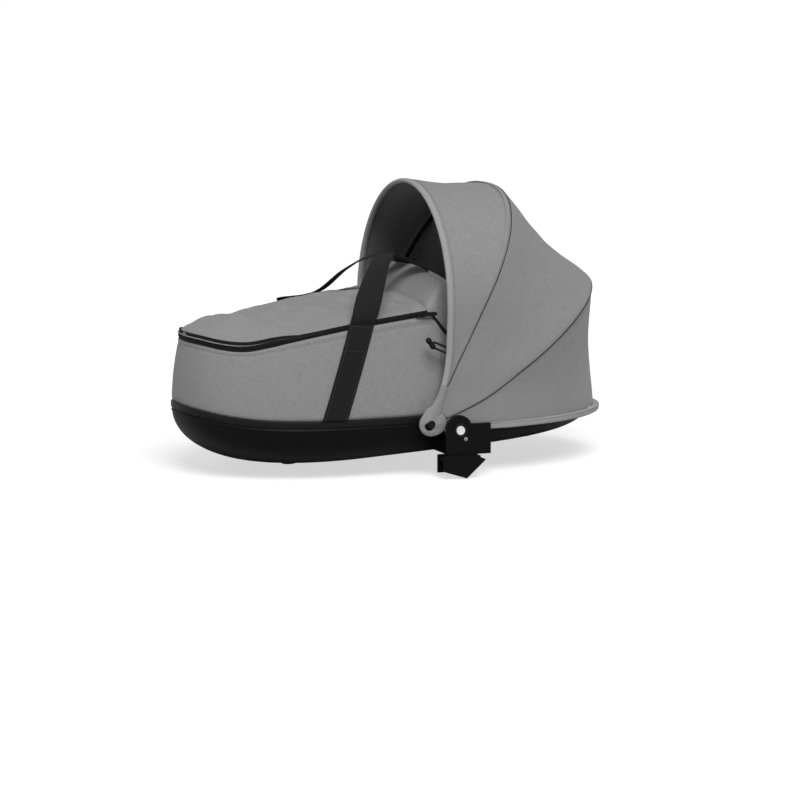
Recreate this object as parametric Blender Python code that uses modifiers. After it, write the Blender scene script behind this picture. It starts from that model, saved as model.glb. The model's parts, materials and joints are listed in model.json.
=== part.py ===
"""Soft-sided carrycot with a three-bow canopy, a zipped apron, two webbing handles and two lift-off adaptors.

Metres, +Z up. X runs from the foot end to the head end; left (+Y) and right (-Y) are as seen from the foot end.
The origin lies midway between the seats of the two adaptor saddles, which stand on a pushchair's side arms.
Heights in the body's own frame count from the waist, where the fabric wall meets the moulded base.
"""

import math

import bmesh
import bpy
from mathutils import Vector

# Frame
WAIST_OVER_SEAT = 0.070
RUNNING_GAP = 0.0003
CUT_OVERRUN = 0.004

# Plan of the body at the waist and at the rim
FOOT_CENTRE_X = -0.130
HEAD_CENTRE_X = 0.040
WAIST_HALF_WIDTH = 0.180
WAIST_FOOT_REACH = 0.280
WAIST_HEAD_REACH = 0.271
RIM_HALF_WIDTH = 0.167
RIM_FOOT_SETBACK = 0.013
RIM_HEAD_SETBACK = 0.013
RIM_FOOT_REACH = WAIST_FOOT_REACH - RIM_FOOT_SETBACK
RIM_HEAD_REACH = WAIST_HEAD_REACH - RIM_HEAD_SETBACK
FOOT_SQUARENESS = 2.25
HEAD_SQUARENESS = 2.1
FOOT_STEPS = 20
HEAD_STEPS = 18
SIDE_STATION_SHARES = (0.0, 0.15, 0.294, 0.338, 0.382, 0.426, 0.47, 0.647, 0.824)

# Heights of the waist and of the rim
WAIST_FOOT_LIFT = 0.017
WAIST_LIFT_START_X = -0.220
RIM_FOOT_HEIGHT = 0.109
RIM_RISE = 0.0573
RIM_RISE_SHARES = ((0.0, 0.0), (0.08, 0.0), (0.188, 0.14), (0.384, 0.43), (0.63, 0.716), (0.776, 0.834), (1.0, 1.0))
ZIP_END_X = -0.040
HEAD_RIM_HEIGHT = 0.128
RIM_DROP_LENGTH = 0.042

# Moulded base
BASE_DEPTH_AT_ORIGIN = 0.0634
BASE_SLOPE_SHARE = 0.0563
BASE_WALL = 0.003
BASE_SIDE_INSET = 0.055
BASE_FOOT_INSET = 0.140
BASE_HEAD_INSET = 0.058
BASE_DEPTH_SHARES = (0.0, 0.3, 0.55, 0.74, 0.87, 0.96, 1.0)
BAND_HEIGHT = 0.011
BAND_PROUD = 0.0015
BAND_THICKNESS = 0.0065
FOOT_PAD_RADIUS = 0.012
FOOT_PAD_HEIGHT = 0.003
FOOT_PAD_FOOT_MARGIN = 0.025
FOOT_PAD_HEAD_MARGIN = 0.088
FOOT_PAD_FOOT_Y = 0.075
FOOT_PAD_HEAD_Y = 0.088
FOOT_PAD_SIDES = 20

# Fabric wall, lining, hoop and edge trims
WALL_THICKNESS = 0.005
WALL_PUFF = 0.003
WALL_LEVEL_SHARES = (0.0, 0.35, 0.7, 1.0)
LINING_THICKNESS = 0.0014
LINING_GAP = 0.0006
HOOP_RADIUS = 0.0025
HOOP_SIDES = 6
TRIM_HEIGHT = 0.009
TRIM_THICKNESS = 0.0024
TRIM_PROUD = 0.001

# Board and mattress
BOARD_THICKNESS = 0.003
BOARD_MARGIN = 0.006
MATTRESS_THICKNESS = 0.036
MATTRESS_CROWN = 0.008
MATTRESS_MARGIN = 0.007
MATTRESS_PINCH = 0.007
MATTRESS_CHANNEL_DEPTH = 0.0035
MATTRESS_CHANNEL_PITCH = 0.105
MATTRESS_SECTIONS = 30
MATTRESS_COLUMNS = 12

# Apron and wind flap
APRON_THICKNESS = 0.0045
APRON_CROWN = 0.012
APRON_FOLD_DEPTH = 0.0035
APRON_FOLD_PITCH = 0.120
APRON_COLUMNS = 12
APRON_TIP_HALF_WIDTH = 0.0015
FLAP_TOP_X = 0.004
FLAP_TOP_CORNER_Z = 0.207
FLAP_TOP_CROWN = 0.025
FLAP_TOP_HALF_WIDTH = 0.146
FLAP_FOOT_HALF_WIDTH = 0.159
FLAP_WING_END_X = 0.006
FLAP_WING_SHARES = (0.35, 0.7, 1.0)
FLAP_CORNER_SPACING = 0.006
FLAP_THICKNESS = 0.003
FLAP_CURL = 0.004
FLAP_COLUMNS = 12
FLAP_ROWS = 4

# Canopy hub and bows
HUB_X = -0.049
HUB_Z = -0.010
HUB_PLATE_RADIUS = 0.015
HUB_PLATE_THICKNESS = 0.0050
PIN_RADIUS = 0.003
PIN_HEAD_RADIUS = 0.0068
PIN_HEAD_HEIGHT = 0.0026
PIN_BORE_CLEARANCE = 0.0003
EYE_RADIUS = 0.011
EYE_SIDES = 20
BOW_WIDTH = 0.008
BOW_THICKNESS = 0.0035
BOW_STACK_GAP = 0.001
BOW_LEG_STEPS = 4
BOW_ARC_STEPS = 9
LEG_LENGTH_SHARE = 0.4
FRONT_BOW = {
    "root_x": -0.0185, "root_z": -0.017, "angle_deg": 88.25, "reach": 0.3804, "leg": 0.178,
    "squareness": 2.0, "bend_length": 0.130, "layer": 2,
}
MID_BOW = {
    "root_x": HUB_X, "root_z": HUB_Z, "angle_deg": 62.8, "reach": 0.4066, "leg": 0.214,
    "squareness": 2.3, "bend_length": 0.100, "layer": 0,
}
REAR_BOW = {
    "root_x": -0.0185, "root_z": -0.0145, "angle_deg": 33.6, "reach": 0.3857, "leg": 0.148,
    "squareness": 2.02, "bend_length": 0.090, "layer": 1,
}

# Canopy fabric
CANOPY_CLOTH = 0.002
CANOPY_CLEARANCE = 0.0010
VISOR_SAG = 0.005
TOP_SAG = 0.013
REAR_SAG = 0.004
BOW_RIDGE = 0.0020
CANOPY_COLUMN_SHARES = (0.0, 0.016, 0.25, 0.5, 0.75, 0.984, 1.0)
CANOPY_START_SHARE = 0.05
SEAM_GAP_SHARE = 0.004
HEM_HEIGHT = 0.011
HEM_TOP_Z = -0.0125
HEM_THICKNESS = 0.0026
HEM_PROUD = 0.0115
HEM_START_X = -0.024
BOOT_RADIUS = 0.0225
BOOT_THICKNESS = 0.0030
BOOT_SIDES = 28

# Adaptors
DOCK_PLATE_INNER = 0.2050
DOCK_PLATE_THICKNESS = 0.0075
DOCK_LEFT_X = -0.022
DOCK_RIGHT_X = 0.0532
DOCK_TOP_Z = -0.012
DOCK_BOTTOM_Z = -0.0617
DOCK_SHELF_TOP_Z = -0.040
DOCK_SHELF_REACH = 0.135
SLOT_HALF_WIDTH = 0.0110
SLOT_DEPTH = 0.0042
SLOT_TOP_Z = -0.034
EAR_CENTRE_X = -0.0053
EAR_CENTRE_Z = -0.018
EAR_RADIUS = 0.0225
EAR_BOTTOM_Z = -0.0617
EAR_LEFT_FLARE = 0.001
EAR_RIGHT_FLARE = 0.0067
EAR_THICKNESS = 0.007
EAR_ARC_STEPS = 14
TONGUE_THICKNESS = 0.0036
TONGUE_SIDE_GAP = 0.0004
BUTTON_X = -0.0029
BUTTON_Z = -0.0205
BUTTON_RADIUS = 0.0074
BUTTON_FLANGE_RADIUS = 0.0088
BUTTON_FLANGE_THICKNESS = 0.0012
BUTTON_PROUD = 0.0010
BUTTON_SIDES = 24
BUTTON_GUIDE_DEPTH = 0.0018
SPRING_RADIUS = 0.0055
SPRING_WIRE_RADIUS = 0.00025
SPRING_TURNS = 2
SPRING_POINTS_PER_TURN = 12
LAMP_X = 0.0062
LAMP_Z = -0.0350
LAMP_RADIUS = 0.0034
LAMP_DEPTH = 0.0016
LAMP_PROUD = 0.0006
SHOE_TOP_Z = -0.0620
SHOE_WEB = 0.008
SHOE_CHEEK = 0.005
SHOE_EAR_GAP = 0.0017
SHOE_WIDTH = 0.0400
SHOE_INNER_DEPTH = 0.0220
SADDLE_HALF_LENGTH = 0.0305
SHOE_OUTLINE = (
    (-0.0349, -0.0630), (-0.0331, -0.0860), (0.0054, -0.0983),
    (0.0352, -0.0723), (0.0387, -0.0686), (0.0229, -0.0615), (-0.0314, -0.0595),
)
EDGE_BEVEL = 0.0008

# Handles
STRAP_WIDTH = 0.040
STRAP_THICKNESS = 0.0016
STRAP_STANDOFF = 0.0013
STRAP_FOOT_BASE_X = -0.204
STRAP_FOOT_RIM_X = -0.154
STRAP_HEAD_BASE_X = 0.090
STRAP_HEAD_RIM_X = 0.072
STRAP_LEG_STEPS = 6
STRAP_STEPS_PER_SPAN = 4
STRAP_SPLIT_GAP = 0.0003
STRAP_CLEAR_RISE = 0.017
LOOP_TOP_SHARES = (0.2, -0.95, 0.3)
STRAP_PATH = (
    (-0.122, 0.132, 0.2015), (-0.082, 0.066, 0.2375), (-0.046, 0.032, 0.2475), (0.000, 0.042, 0.2390),
    (0.034, 0.092, 0.2080), (0.060, 0.138, 0.1760),
)

# Zip sliders
SLIDER_X = -0.052
SLIDER_LENGTH = 0.011
SLIDER_HEIGHT = 0.0075
SLIDER_THICKNESS = 0.0030
PULL_LENGTH = 0.015
PULL_WIDTH = 0.005
PULL_THICKNESS = 0.0016
PULL_HOLE_RADIUS = 0.0011
PULL_PIN_RADIUS = 0.0008
PULL_PIN_LENGTH = 0.0030
PULL_SIDES = 16

# Elastic toggles on the front bow
TOGGLE_LENGTH = 0.024
TOGGLE_RADIUS = 0.0028
TOGGLE_X = -0.046
TOGGLE_Z = 0.1205
TOGGLE_Y = 0.1965
TOGGLE_TILT_DEG = 20.0
TOGGLE_LOOP_RADIUS = 0.0011
TOGGLE_LOOP_SPREAD = 0.0085
TOGGLE_LOOP_DROP_DEG = 19.0
TOGGLE_SIDES = 12

SIDES = (("right", -1), ("left", 1))

PALETTE = {
    "black_moulding": ((0.010, 0.010, 0.011), 0.42, 0.0),
    "black_trim": ((0.014, 0.014, 0.015), 0.65, 0.0),
    "grey_fabric": ((0.250, 0.250, 0.252), 0.85, 0.0),
    "dark_lining": ((0.045, 0.045, 0.047), 0.90, 0.0),
    "black_webbing": ((0.016, 0.016, 0.017), 0.75, 0.0),
    "steel": ((0.560, 0.560, 0.570), 0.30, 1.0),
    "bow_plastic": ((0.030, 0.030, 0.032), 0.55, 0.0),
    "mattress_cloth": ((0.620, 0.620, 0.610), 0.90, 0.0),
    "board": ((0.300, 0.300, 0.300), 0.80, 0.0),
    "white_button": ((0.850, 0.850, 0.840), 0.30, 0.0),
    "grey_lamp": ((0.220, 0.220, 0.225), 0.35, 0.0),
}


def clear_scene():
    """Removes every object, so that the model is all there is."""
    for old in list(bpy.data.objects):
        bpy.data.objects.remove(old, do_unlink=True)


def collection(name):
    """A new collection in the scene."""
    made = bpy.data.collections.new(name)
    bpy.context.scene.collection.children.link(made)
    return made


clear_scene()
PARTS = collection("carrycot")
CUTTERS = collection("cutters")
FRAME = bpy.data.objects.new("body_frame", None)
PARTS.objects.link(FRAME)
FRAME.location = (0, 0, WAIST_OVER_SEAT)


def material(name, finish):
    """A plain surface of one colour for one sub-part."""
    colour, roughness, metallic = PALETTE[finish]
    made = bpy.data.materials.new(name)
    made.use_nodes = True
    shader = made.node_tree.nodes["Principled BSDF"]
    shader.inputs["Base Color"].default_value = (*colour, 1)
    shader.inputs["Roughness"].default_value = roughness
    shader.inputs["Metallic"].default_value = metallic
    return made


def finish_part(part, finish, origin=(0, 0, 0)):
    """Gives a part its material, its origin in the body frame and its parent."""
    for owner in list(part.users_collection):
        owner.objects.unlink(part)
    PARTS.objects.link(part)
    shift = Vector(origin)
    for vertex in part.data.vertices:
        vertex.co -= shift
    part.location = shift
    part.parent = FRAME
    part.data.materials.clear()
    part.data.materials.append(material(part.name, finish))
    part.data.shade_smooth()
    part.data.set_sharp_from_angle(angle=math.radians(35))
    return part


def loft(name, sections, closed=False, shell=False):
    """Joins like-numbered points of successive sections. A shell's end is closed by quads between its two skins."""
    mesh = bmesh.new()
    rows = [[mesh.verts.new(point) for point in section] for section in sections]
    count = len(rows[0])
    pairs = list(zip(rows, rows[1:]))
    if closed:
        pairs.append((rows[-1], rows[0]))
    for first, second in pairs:
        for k in range(count):
            n = (k + 1) % count
            mesh.faces.new((first[k], first[n], second[n], second[k]))
    if not closed:
        for row in (rows[0], rows[-1]):
            if shell:
                for k in range(count // 2 - 1):
                    mesh.faces.new((row[k], row[k + 1], row[count - 2 - k], row[count - 1 - k]))
            else:
                mesh.faces.new(row)
    bmesh.ops.recalc_face_normals(mesh, faces=mesh.faces)
    data = bpy.data.meshes.new(name)
    mesh.to_mesh(data)
    mesh.free()
    made = bpy.data.objects.new(name, data)
    PARTS.objects.link(made)
    return made


def cylinder(name, radius, low, high, side, x, z, sides):
    """A round bar along Y on one side of the body, from distance low to distance high off the middle plane."""
    bpy.ops.mesh.primitive_cylinder_add(radius=radius, depth=high - low, vertices=sides)
    made = bpy.context.object
    made.name = name
    made.data.name = name
    middle = Vector((x, side * (low + high) / 2, z))
    for vertex in made.data.vertices:
        along = vertex.co.z
        vertex.co = middle + Vector((vertex.co.x, along, -vertex.co.y))
    return made


def block(name, low, high):
    """A box between two corners."""
    bpy.ops.mesh.primitive_cube_add(size=1)
    made = bpy.context.object
    made.name = name
    made.data.name = name
    low, high = Vector(low), Vector(high)
    for vertex in made.data.vertices:
        for axis in range(3):
            vertex.co[axis] = (low[axis] + high[axis]) / 2 + vertex.co[axis] * abs(high[axis] - low[axis])
    return made


def side_block(name, side, x_low, x_high, w_low, w_high, z_low, z_high):
    """A box on one side of the body, given by its distances off the middle plane."""
    y_pair = sorted((side * w_low, side * w_high))
    return block(name, (x_low, y_pair[0], z_low), (x_high, y_pair[1], z_high))


def side_plate(name, side, outline, w_low, w_high):
    """A flat outline in X and Z, extruded between two distances off the middle plane."""
    sections = [[(x, side * w, z) for x, z in outline] for w in (w_low, w_high)]
    return loft(name, sections)


def boolean(part, operation, tool, keep_tool=False):
    """Joins a tool to a part or cuts it out, and applies the result."""
    modifier = part.modifiers.new(operation.lower(), "BOOLEAN")
    modifier.operation = operation
    modifier.solver = "EXACT"
    modifier.object = tool
    bpy.context.view_layer.update()
    graph = bpy.context.evaluated_depsgraph_get()
    result = bpy.data.meshes.new_from_object(part.evaluated_get(graph))
    part.modifiers.remove(modifier)
    old = part.data
    part.data = result
    result.name = part.name
    bpy.data.meshes.remove(old)
    if not keep_tool:
        bpy.data.objects.remove(tool, do_unlink=True)
    return part


def cutter(tool):
    """Moves a tool to the cutters' collection, unseen in a render."""
    for owner in list(tool.users_collection):
        owner.objects.unlink(tool)
    CUTTERS.objects.link(tool)
    tool.hide_render = True
    tool.display_type = "WIRE"
    return tool


def bevel(part, width):
    """Rounds a part's sharp edges."""
    modifier = part.modifiers.new("edges", "BEVEL")
    modifier.width = width
    modifier.segments = 1
    modifier.limit_method = "ANGLE"
    modifier.angle_limit = math.radians(50)
    return part


def blend_shares(table, position):
    """Smooth rise between the hand-picked shares of a table."""
    position = min(max(position, table[0][0]), table[-1][0])
    for k in range(len(table) - 1):
        (start, low), (end, high) = table[k], table[k + 1]
        if position <= end:
            break
    before = table[max(k - 1, 0)]
    after = table[min(k + 2, len(table) - 1)]
    slope_in = (high - before[1]) / (end - before[0])
    slope_out = (after[1] - low) / (after[0] - start)
    span = end - start
    t = (position - start) / span
    return (
        low * (2 * t**3 - 3 * t**2 + 1)
        + slope_in * span * (t**3 - 2 * t**2 + t)
        + high * (3 * t**2 - 2 * t**3)
        + slope_out * span * (t**3 - t**2)
    )


def smooth_step(t):
    """Rise from 0 to 1 with level ends."""
    t = min(max(t, 0.0), 1.0)
    return t * t * (3 - 2 * t)


def end_curve(turn, reach, half_width, squareness):
    """Point of a superellipse quarter: turn 0 is the side, a right turn is the tip."""
    power = 2 / squareness
    return reach * abs(math.sin(turn)) ** power, half_width * abs(math.cos(turn)) ** power


def plan_ring(foot_reach, half_width, head_reach):
    """Plan outline of the body: round the head end, along the far side, round the foot end and back."""
    ring = []
    for k in range(HEAD_STEPS):
        turn = math.pi * k / HEAD_STEPS
        out, across = end_curve(turn, head_reach, half_width, HEAD_SQUARENESS)
        ring.append((HEAD_CENTRE_X + out, -across if k < HEAD_STEPS / 2 else across))
    side_run = FOOT_CENTRE_X - HEAD_CENTRE_X
    for share in SIDE_STATION_SHARES:
        ring.append((HEAD_CENTRE_X + side_run * share, half_width))
    for k in range(FOOT_STEPS):
        turn = math.pi * k / FOOT_STEPS
        out, across = end_curve(turn, foot_reach, half_width, FOOT_SQUARENESS)
        ring.append((FOOT_CENTRE_X - out, across if k < FOOT_STEPS / 2 else -across))
    ring.append((FOOT_CENTRE_X, -half_width))
    for share in SIDE_STATION_SHARES[:0:-1]:
        ring.append((HEAD_CENTRE_X + side_run * share, -half_width))
    return ring


def waist_height(x):
    """Height of the line where wall and base meet: it lifts towards the foot end."""
    run = WAIST_FOOT_REACH + WAIST_LIFT_START_X - FOOT_CENTRE_X
    past = max(0.0, WAIST_LIFT_START_X - x) / run
    return WAIST_FOOT_LIFT * past**3


def rim_height(x):
    """Height of the wall's top edge: low round the foot, rising to the zip's end, then dropping into the canopy."""
    start = FOOT_CENTRE_X - RIM_FOOT_REACH
    rise = RIM_FOOT_HEIGHT + RIM_RISE * blend_shares(RIM_RISE_SHARES, (x - start) / (ZIP_END_X - start))
    drop = smooth_step((x - ZIP_END_X) / RIM_DROP_LENGTH)
    return rise + (HEAD_RIM_HEIGHT - rise) * drop


def underside(x):
    """Height of the base's flat underside, which slopes up towards the head end."""
    return -BASE_DEPTH_AT_ORIGIN + BASE_SLOPE_SHARE * x


def base_ring(depth_share, inward, lift):
    """One level of the base: its plan draws in along a quarter ellipse as it goes down."""
    inset = 1 - math.sqrt(1 - depth_share**2)
    plan = plan_ring(
        WAIST_FOOT_REACH - BASE_FOOT_INSET * inset - inward,
        WAIST_HALF_WIDTH - BASE_SIDE_INSET * inset - inward,
        WAIST_HEAD_REACH - BASE_HEAD_INSET * inset - inward,
    )
    waist = plan_ring(WAIST_FOOT_REACH, WAIST_HALF_WIDTH, WAIST_HEAD_REACH)
    ring = []
    for (x, y), (waist_x, waist_y) in zip(plan, waist):
        top = waist_height(waist_x) - BAND_HEIGHT - RUNNING_GAP
        bottom = underside(x) + lift
        ring.append((x, y, top + (bottom - top) * depth_share))
    return ring


def base_shell():
    """The moulded tray: a bowl of even wall with a sloping flat underside."""
    outside = [base_ring(share, 0, 0) for share in reversed(BASE_DEPTH_SHARES)]
    inside = [base_ring(share, BASE_WALL, BASE_WALL) for share in BASE_DEPTH_SHARES]
    return finish_part(loft("base_shell", outside + inside), "black_moulding")


def wall_ring(level, offset, lift=0):
    """One level of the fabric wall, from the waist (0) to the rim (1). It puffs out, save under the canopy's back."""
    puff = WALL_PUFF * 4 * level * (1 - level)
    waist = plan_ring(WAIST_FOOT_REACH + offset, WAIST_HALF_WIDTH + offset, WAIST_HEAD_REACH + offset)
    rim = plan_ring(RIM_FOOT_REACH + offset, RIM_HALF_WIDTH + offset, RIM_HEAD_REACH + offset)
    puffed = plan_ring(WAIST_FOOT_REACH + puff, WAIST_HALF_WIDTH + puff, WAIST_HEAD_REACH)
    plain = plan_ring(WAIST_FOOT_REACH, WAIST_HALF_WIDTH, WAIST_HEAD_REACH)
    line = rim_plan()
    ring = []
    for k in range(len(waist)):
        x = waist[k][0] + (rim[k][0] - waist[k][0]) * level + puffed[k][0] - plain[k][0]
        y = waist[k][1] + (rim[k][1] - waist[k][1]) * level + puffed[k][1] - plain[k][1]
        low = waist_height(plain[k][0]) + RUNNING_GAP
        high = rim_height(line[k][0]) - TRIM_HEIGHT / 2
        ring.append((x, y, low + (high - low) * level + lift))
    return ring


def ring_body(name, rings, finish):
    """A closed band: its section at each station joins the like points of the given rings."""
    sections = [[ring[k] for ring in rings] for k in range(len(rings[0]))]
    return finish_part(loft(name, sections, closed=True), finish)


def band_ring(offset, drop):
    """A ring at the waist, moved outwards and down."""
    plan = plan_ring(WAIST_FOOT_REACH + offset, WAIST_HALF_WIDTH + offset, WAIST_HEAD_REACH + offset)
    waist = plan_ring(WAIST_FOOT_REACH, WAIST_HALF_WIDTH, WAIST_HEAD_REACH)
    return [(x, y, waist_height(w[0]) - drop) for (x, y), w in zip(plan, waist)]


def waist_band():
    """The moulded band that clamps the wall's lower edge to the tray."""
    inner = BAND_PROUD - BAND_THICKNESS
    rings = [
        band_ring(BAND_PROUD, BAND_HEIGHT), band_ring(BAND_PROUD, 0),
        band_ring(inner, 0), band_ring(inner, BAND_HEIGHT),
    ]
    return ring_body("waist_band", rings, "black_moulding")


def side_wall():
    """The padded fabric wall between the waist band and the rim."""
    outer = [wall_ring(level, 0) for level in WALL_LEVEL_SHARES]
    inner = [wall_ring(level, -WALL_THICKNESS) for level in reversed(WALL_LEVEL_SHARES)]
    return ring_body("side_wall", outer + inner, "grey_fabric")


def lining():
    """The thin inner lining that hangs from the rim down past the waist band."""
    near_skin = -WALL_THICKNESS - LINING_GAP
    far_skin = near_skin - LINING_THICKNESS
    below = BAND_HEIGHT
    outer = [wall_ring(0, near_skin, -below)] + [wall_ring(level, near_skin) for level in WALL_LEVEL_SHARES]
    inner = [wall_ring(0, far_skin, -below)] + [wall_ring(level, far_skin) for level in WALL_LEVEL_SHARES]
    return ring_body("lining", outer + inner[::-1], "dark_lining")


def rim_ring(offset, lift):
    """A ring along the rim line, moved outwards and up."""
    plan = plan_ring(RIM_FOOT_REACH + offset, RIM_HALF_WIDTH + offset, RIM_HEAD_REACH + offset)
    return [(x, y, rim_height(p[0]) + lift) for (x, y), p in zip(plan, rim_plan())]


def rim_plan():
    """The rim line in plan."""
    return plan_ring(RIM_FOOT_REACH, RIM_HALF_WIDTH, RIM_HEAD_REACH)


def hoop_centre():
    """Offset and lift of the wire hoop, which lies on the wall's top edge behind the trim."""
    offset = TRIM_PROUD - TRIM_THICKNESS - RUNNING_GAP - HOOP_RADIUS
    lift = -TRIM_HEIGHT / 2 + RUNNING_GAP + HOOP_RADIUS
    return offset, lift


def rim_hoop():
    """The sprung wire hoop that holds the wall's top edge open."""
    offset, lift = hoop_centre()
    rings = []
    for k in range(HOOP_SIDES):
        turn = 2 * math.pi * (k + 0.5) / HOOP_SIDES
        rings.append(rim_ring(offset + HOOP_RADIUS * math.cos(turn), lift + HOOP_RADIUS * math.sin(turn)))
    return ring_body("rim_hoop", rings, "steel")


def side_stations():
    """Station numbers where the far and near sides reach the zip's end."""
    drop_share = (HEAD_CENTRE_X - ZIP_END_X) / (HEAD_CENTRE_X - FOOT_CENTRE_X)
    nearest = min(range(len(SIDE_STATION_SHARES)), key=lambda k: abs(SIDE_STATION_SHARES[k] - drop_share))
    far = HEAD_STEPS + nearest
    near = HEAD_STEPS + len(SIDE_STATION_SHARES) + FOOT_STEPS + len(SIDE_STATION_SHARES) - nearest
    return far, near


def edge_trim(name, numbers, finish):
    """A strip along a stretch of the rim, outside the hoop and on the wall's top edge."""
    half = TRIM_HEIGHT / 2
    inner = TRIM_PROUD - TRIM_THICKNESS
    low = -half + RUNNING_GAP
    rings = [rim_ring(TRIM_PROUD, low), rim_ring(TRIM_PROUD, half), rim_ring(inner, half), rim_ring(inner, low)]
    sections = [[ring[k] for ring in rings] for k in numbers]
    return finish_part(loft(name, sections), finish)


def edge_trims():
    """The zip round the foot end, and the elastic binding round the head end."""
    far, near = side_stations()
    count = len(rim_plan())
    edge_trim("zip_tape", range(far, near + 1), "black_trim")
    head_numbers = [k % count for k in range(near, count + far + 1)]
    binding = edge_trim("head_edge_binding", head_numbers, "black_trim")
    for vertex in binding.data.vertices:
        past = vertex.co.x - ZIP_END_X
        if past < STRAP_SPLIT_GAP:
            vertex.co.x += STRAP_SPLIT_GAP
    return binding


def foot_pads():
    """Four round pads on the sloping underside."""
    tilt = math.atan(BASE_SLOPE_SHARE)
    foot_x = FOOT_CENTRE_X - (WAIST_FOOT_REACH - BASE_FOOT_INSET) + FOOT_PAD_FOOT_MARGIN
    head_x = HEAD_CENTRE_X + (WAIST_HEAD_REACH - BASE_HEAD_INSET) - FOOT_PAD_HEAD_MARGIN
    for end, x, y in (("foot", foot_x, FOOT_PAD_FOOT_Y), ("head", head_x, FOOT_PAD_HEAD_Y)):
        for side_name, side in SIDES:
            bpy.ops.mesh.primitive_cylinder_add(
                radius=FOOT_PAD_RADIUS, depth=FOOT_PAD_HEIGHT, vertices=FOOT_PAD_SIDES
            )
            pad = bpy.context.object
            pad.name = f"foot_pad_{end}_{side_name}"
            finish_part(pad, "black_trim")
            reach = FOOT_PAD_HEIGHT / 2 + RUNNING_GAP
            pad.location = (x + reach * math.sin(tilt), side * y, underside(x) - reach * math.cos(tilt))
            pad.rotation_euler = (0, -tilt, 0)


def base_board():
    """The stiff board on the tray's floor."""
    rings = []
    for lift in (RUNNING_GAP, RUNNING_GAP + BOARD_THICKNESS):
        plan = plan_ring(
            WAIST_FOOT_REACH - BASE_FOOT_INSET - BOARD_MARGIN,
            WAIST_HALF_WIDTH - BASE_SIDE_INSET - BOARD_MARGIN,
            WAIST_HEAD_REACH - BASE_HEAD_INSET - BOARD_MARGIN,
        )
        rings.append([(x, y, underside(x) + BASE_WALL + lift) for x, y in plan])
    return finish_part(loft("base_board", rings), "board")


def rounded_half_width(x, foot_reach, half_width, head_reach):
    """Half width of a rounded plan at one place along the body."""
    if x < FOOT_CENTRE_X:
        share = min((FOOT_CENTRE_X - x) / foot_reach, 1.0)
        return half_width * (1 - share**FOOT_SQUARENESS) ** (1 / FOOT_SQUARENESS)
    if x > HEAD_CENTRE_X:
        share = min((x - HEAD_CENTRE_X) / head_reach, 1.0)
        return half_width * (1 - share**HEAD_SQUARENESS) ** (1 / HEAD_SQUARENESS)
    return half_width


def mattress():
    """A foam pad: crowned top, sides drawn in along a waist seam, and sewn channels across it."""
    floor_lift = BASE_WALL + RUNNING_GAP + BOARD_THICKNESS + RUNNING_GAP
    foot_reach = WAIST_FOOT_REACH - BASE_FOOT_INSET - MATTRESS_MARGIN
    half_width = WAIST_HALF_WIDTH - BASE_SIDE_INSET - MATTRESS_MARGIN
    head_reach = WAIST_HEAD_REACH - BASE_HEAD_INSET - MATTRESS_MARGIN
    low_x = FOOT_CENTRE_X - foot_reach
    high_x = HEAD_CENTRE_X + head_reach
    sections = []
    for k in range(MATTRESS_SECTIONS + 1):
        along = (1 - math.cos(math.pi * (k + 0.5) / (MATTRESS_SECTIONS + 1))) / 2
        x = low_x + (high_x - low_x) * along
        half = rounded_half_width(x, foot_reach, half_width, head_reach)
        fill = min(1.0, half / half_width)
        floor = underside(x) + floor_lift
        channel = math.sin(math.pi * (x - low_x) / MATTRESS_CHANNEL_PITCH) ** 2
        groove = MATTRESS_CHANNEL_DEPTH * (1 - channel) ** 6
        top = []
        for j in range(MATTRESS_COLUMNS + 1):
            across = -1 + 2 * j / MATTRESS_COLUMNS
            dome = (1 - across**2) ** 0.5 if abs(across) < 1 else 0.0
            side_height = MATTRESS_THICKNESS * (0.55 + 0.45 * min(1.0, 3 * (1 - abs(across))))
            height = side_height + (MATTRESS_CROWN - groove) * dome
            top.append((x, across * half, floor + height * (0.6 + 0.4 * fill)))
        pinch = min(MATTRESS_PINCH, half / 4)
        right = (x, half - pinch, floor + MATTRESS_THICKNESS / 4)
        left = (x, -half + pinch, floor + MATTRESS_THICKNESS / 4)
        base_right = (x, half - pinch / 2, floor)
        base_left = (x, -half + pinch / 2, floor)
        sections.append(top + [right, base_right, base_left, left])
    return finish_part(loft("mattress", sections), "mattress_cloth")


def apron_station_pairs():
    """Plan places where the apron meets the zip on both sides, from the tip of the foot end to the zip's end."""
    inner = TRIM_PROUD - TRIM_THICKNESS - RUNNING_GAP
    plan = plan_ring(RIM_FOOT_REACH + inner, RIM_HALF_WIDTH + inner, RIM_HEAD_REACH + inner)
    rim = rim_plan()
    far, near = side_stations()
    tip = HEAD_STEPS + len(SIDE_STATION_SHARES) + FOOT_STEPS // 2
    places = [(plan[tip][0], APRON_TIP_HALF_WIDTH, rim_height(rim[tip][0]))]
    for k in range(tip - 1, far - 1, -1):
        places.append((plan[k][0], plan[k][1], rim_height(rim[k][0])))
    return places


def apron():
    """The zipped cover over the foot half: it crowns gently and lies in a few broad folds."""
    hoop_offset, hoop_lift = hoop_centre()
    edge = hoop_lift + HOOP_RADIUS + RUNNING_GAP
    places = apron_station_pairs()
    widest = max(place[1] for place in places)
    sections = []
    for x, half, rim in places:
        fill = half / widest
        top = []
        bottom = []
        for j in range(APRON_COLUMNS + 1):
            across = -1 + 2 * j / APRON_COLUMNS
            dome = 1 - across**2
            wave = math.sin(2 * math.pi * (x + across * half / 3) / APRON_FOLD_PITCH)
            height = (APRON_CROWN * dome + APRON_FOLD_DEPTH * wave * dome) * fill
            top.append((x, across * half, rim + edge + APRON_THICKNESS + height))
            bottom.append((x, across * half, rim + edge + height))
        sections.append(top + bottom[::-1])
    return finish_part(loft("apron", sections, shell=True), "grey_fabric")


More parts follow.
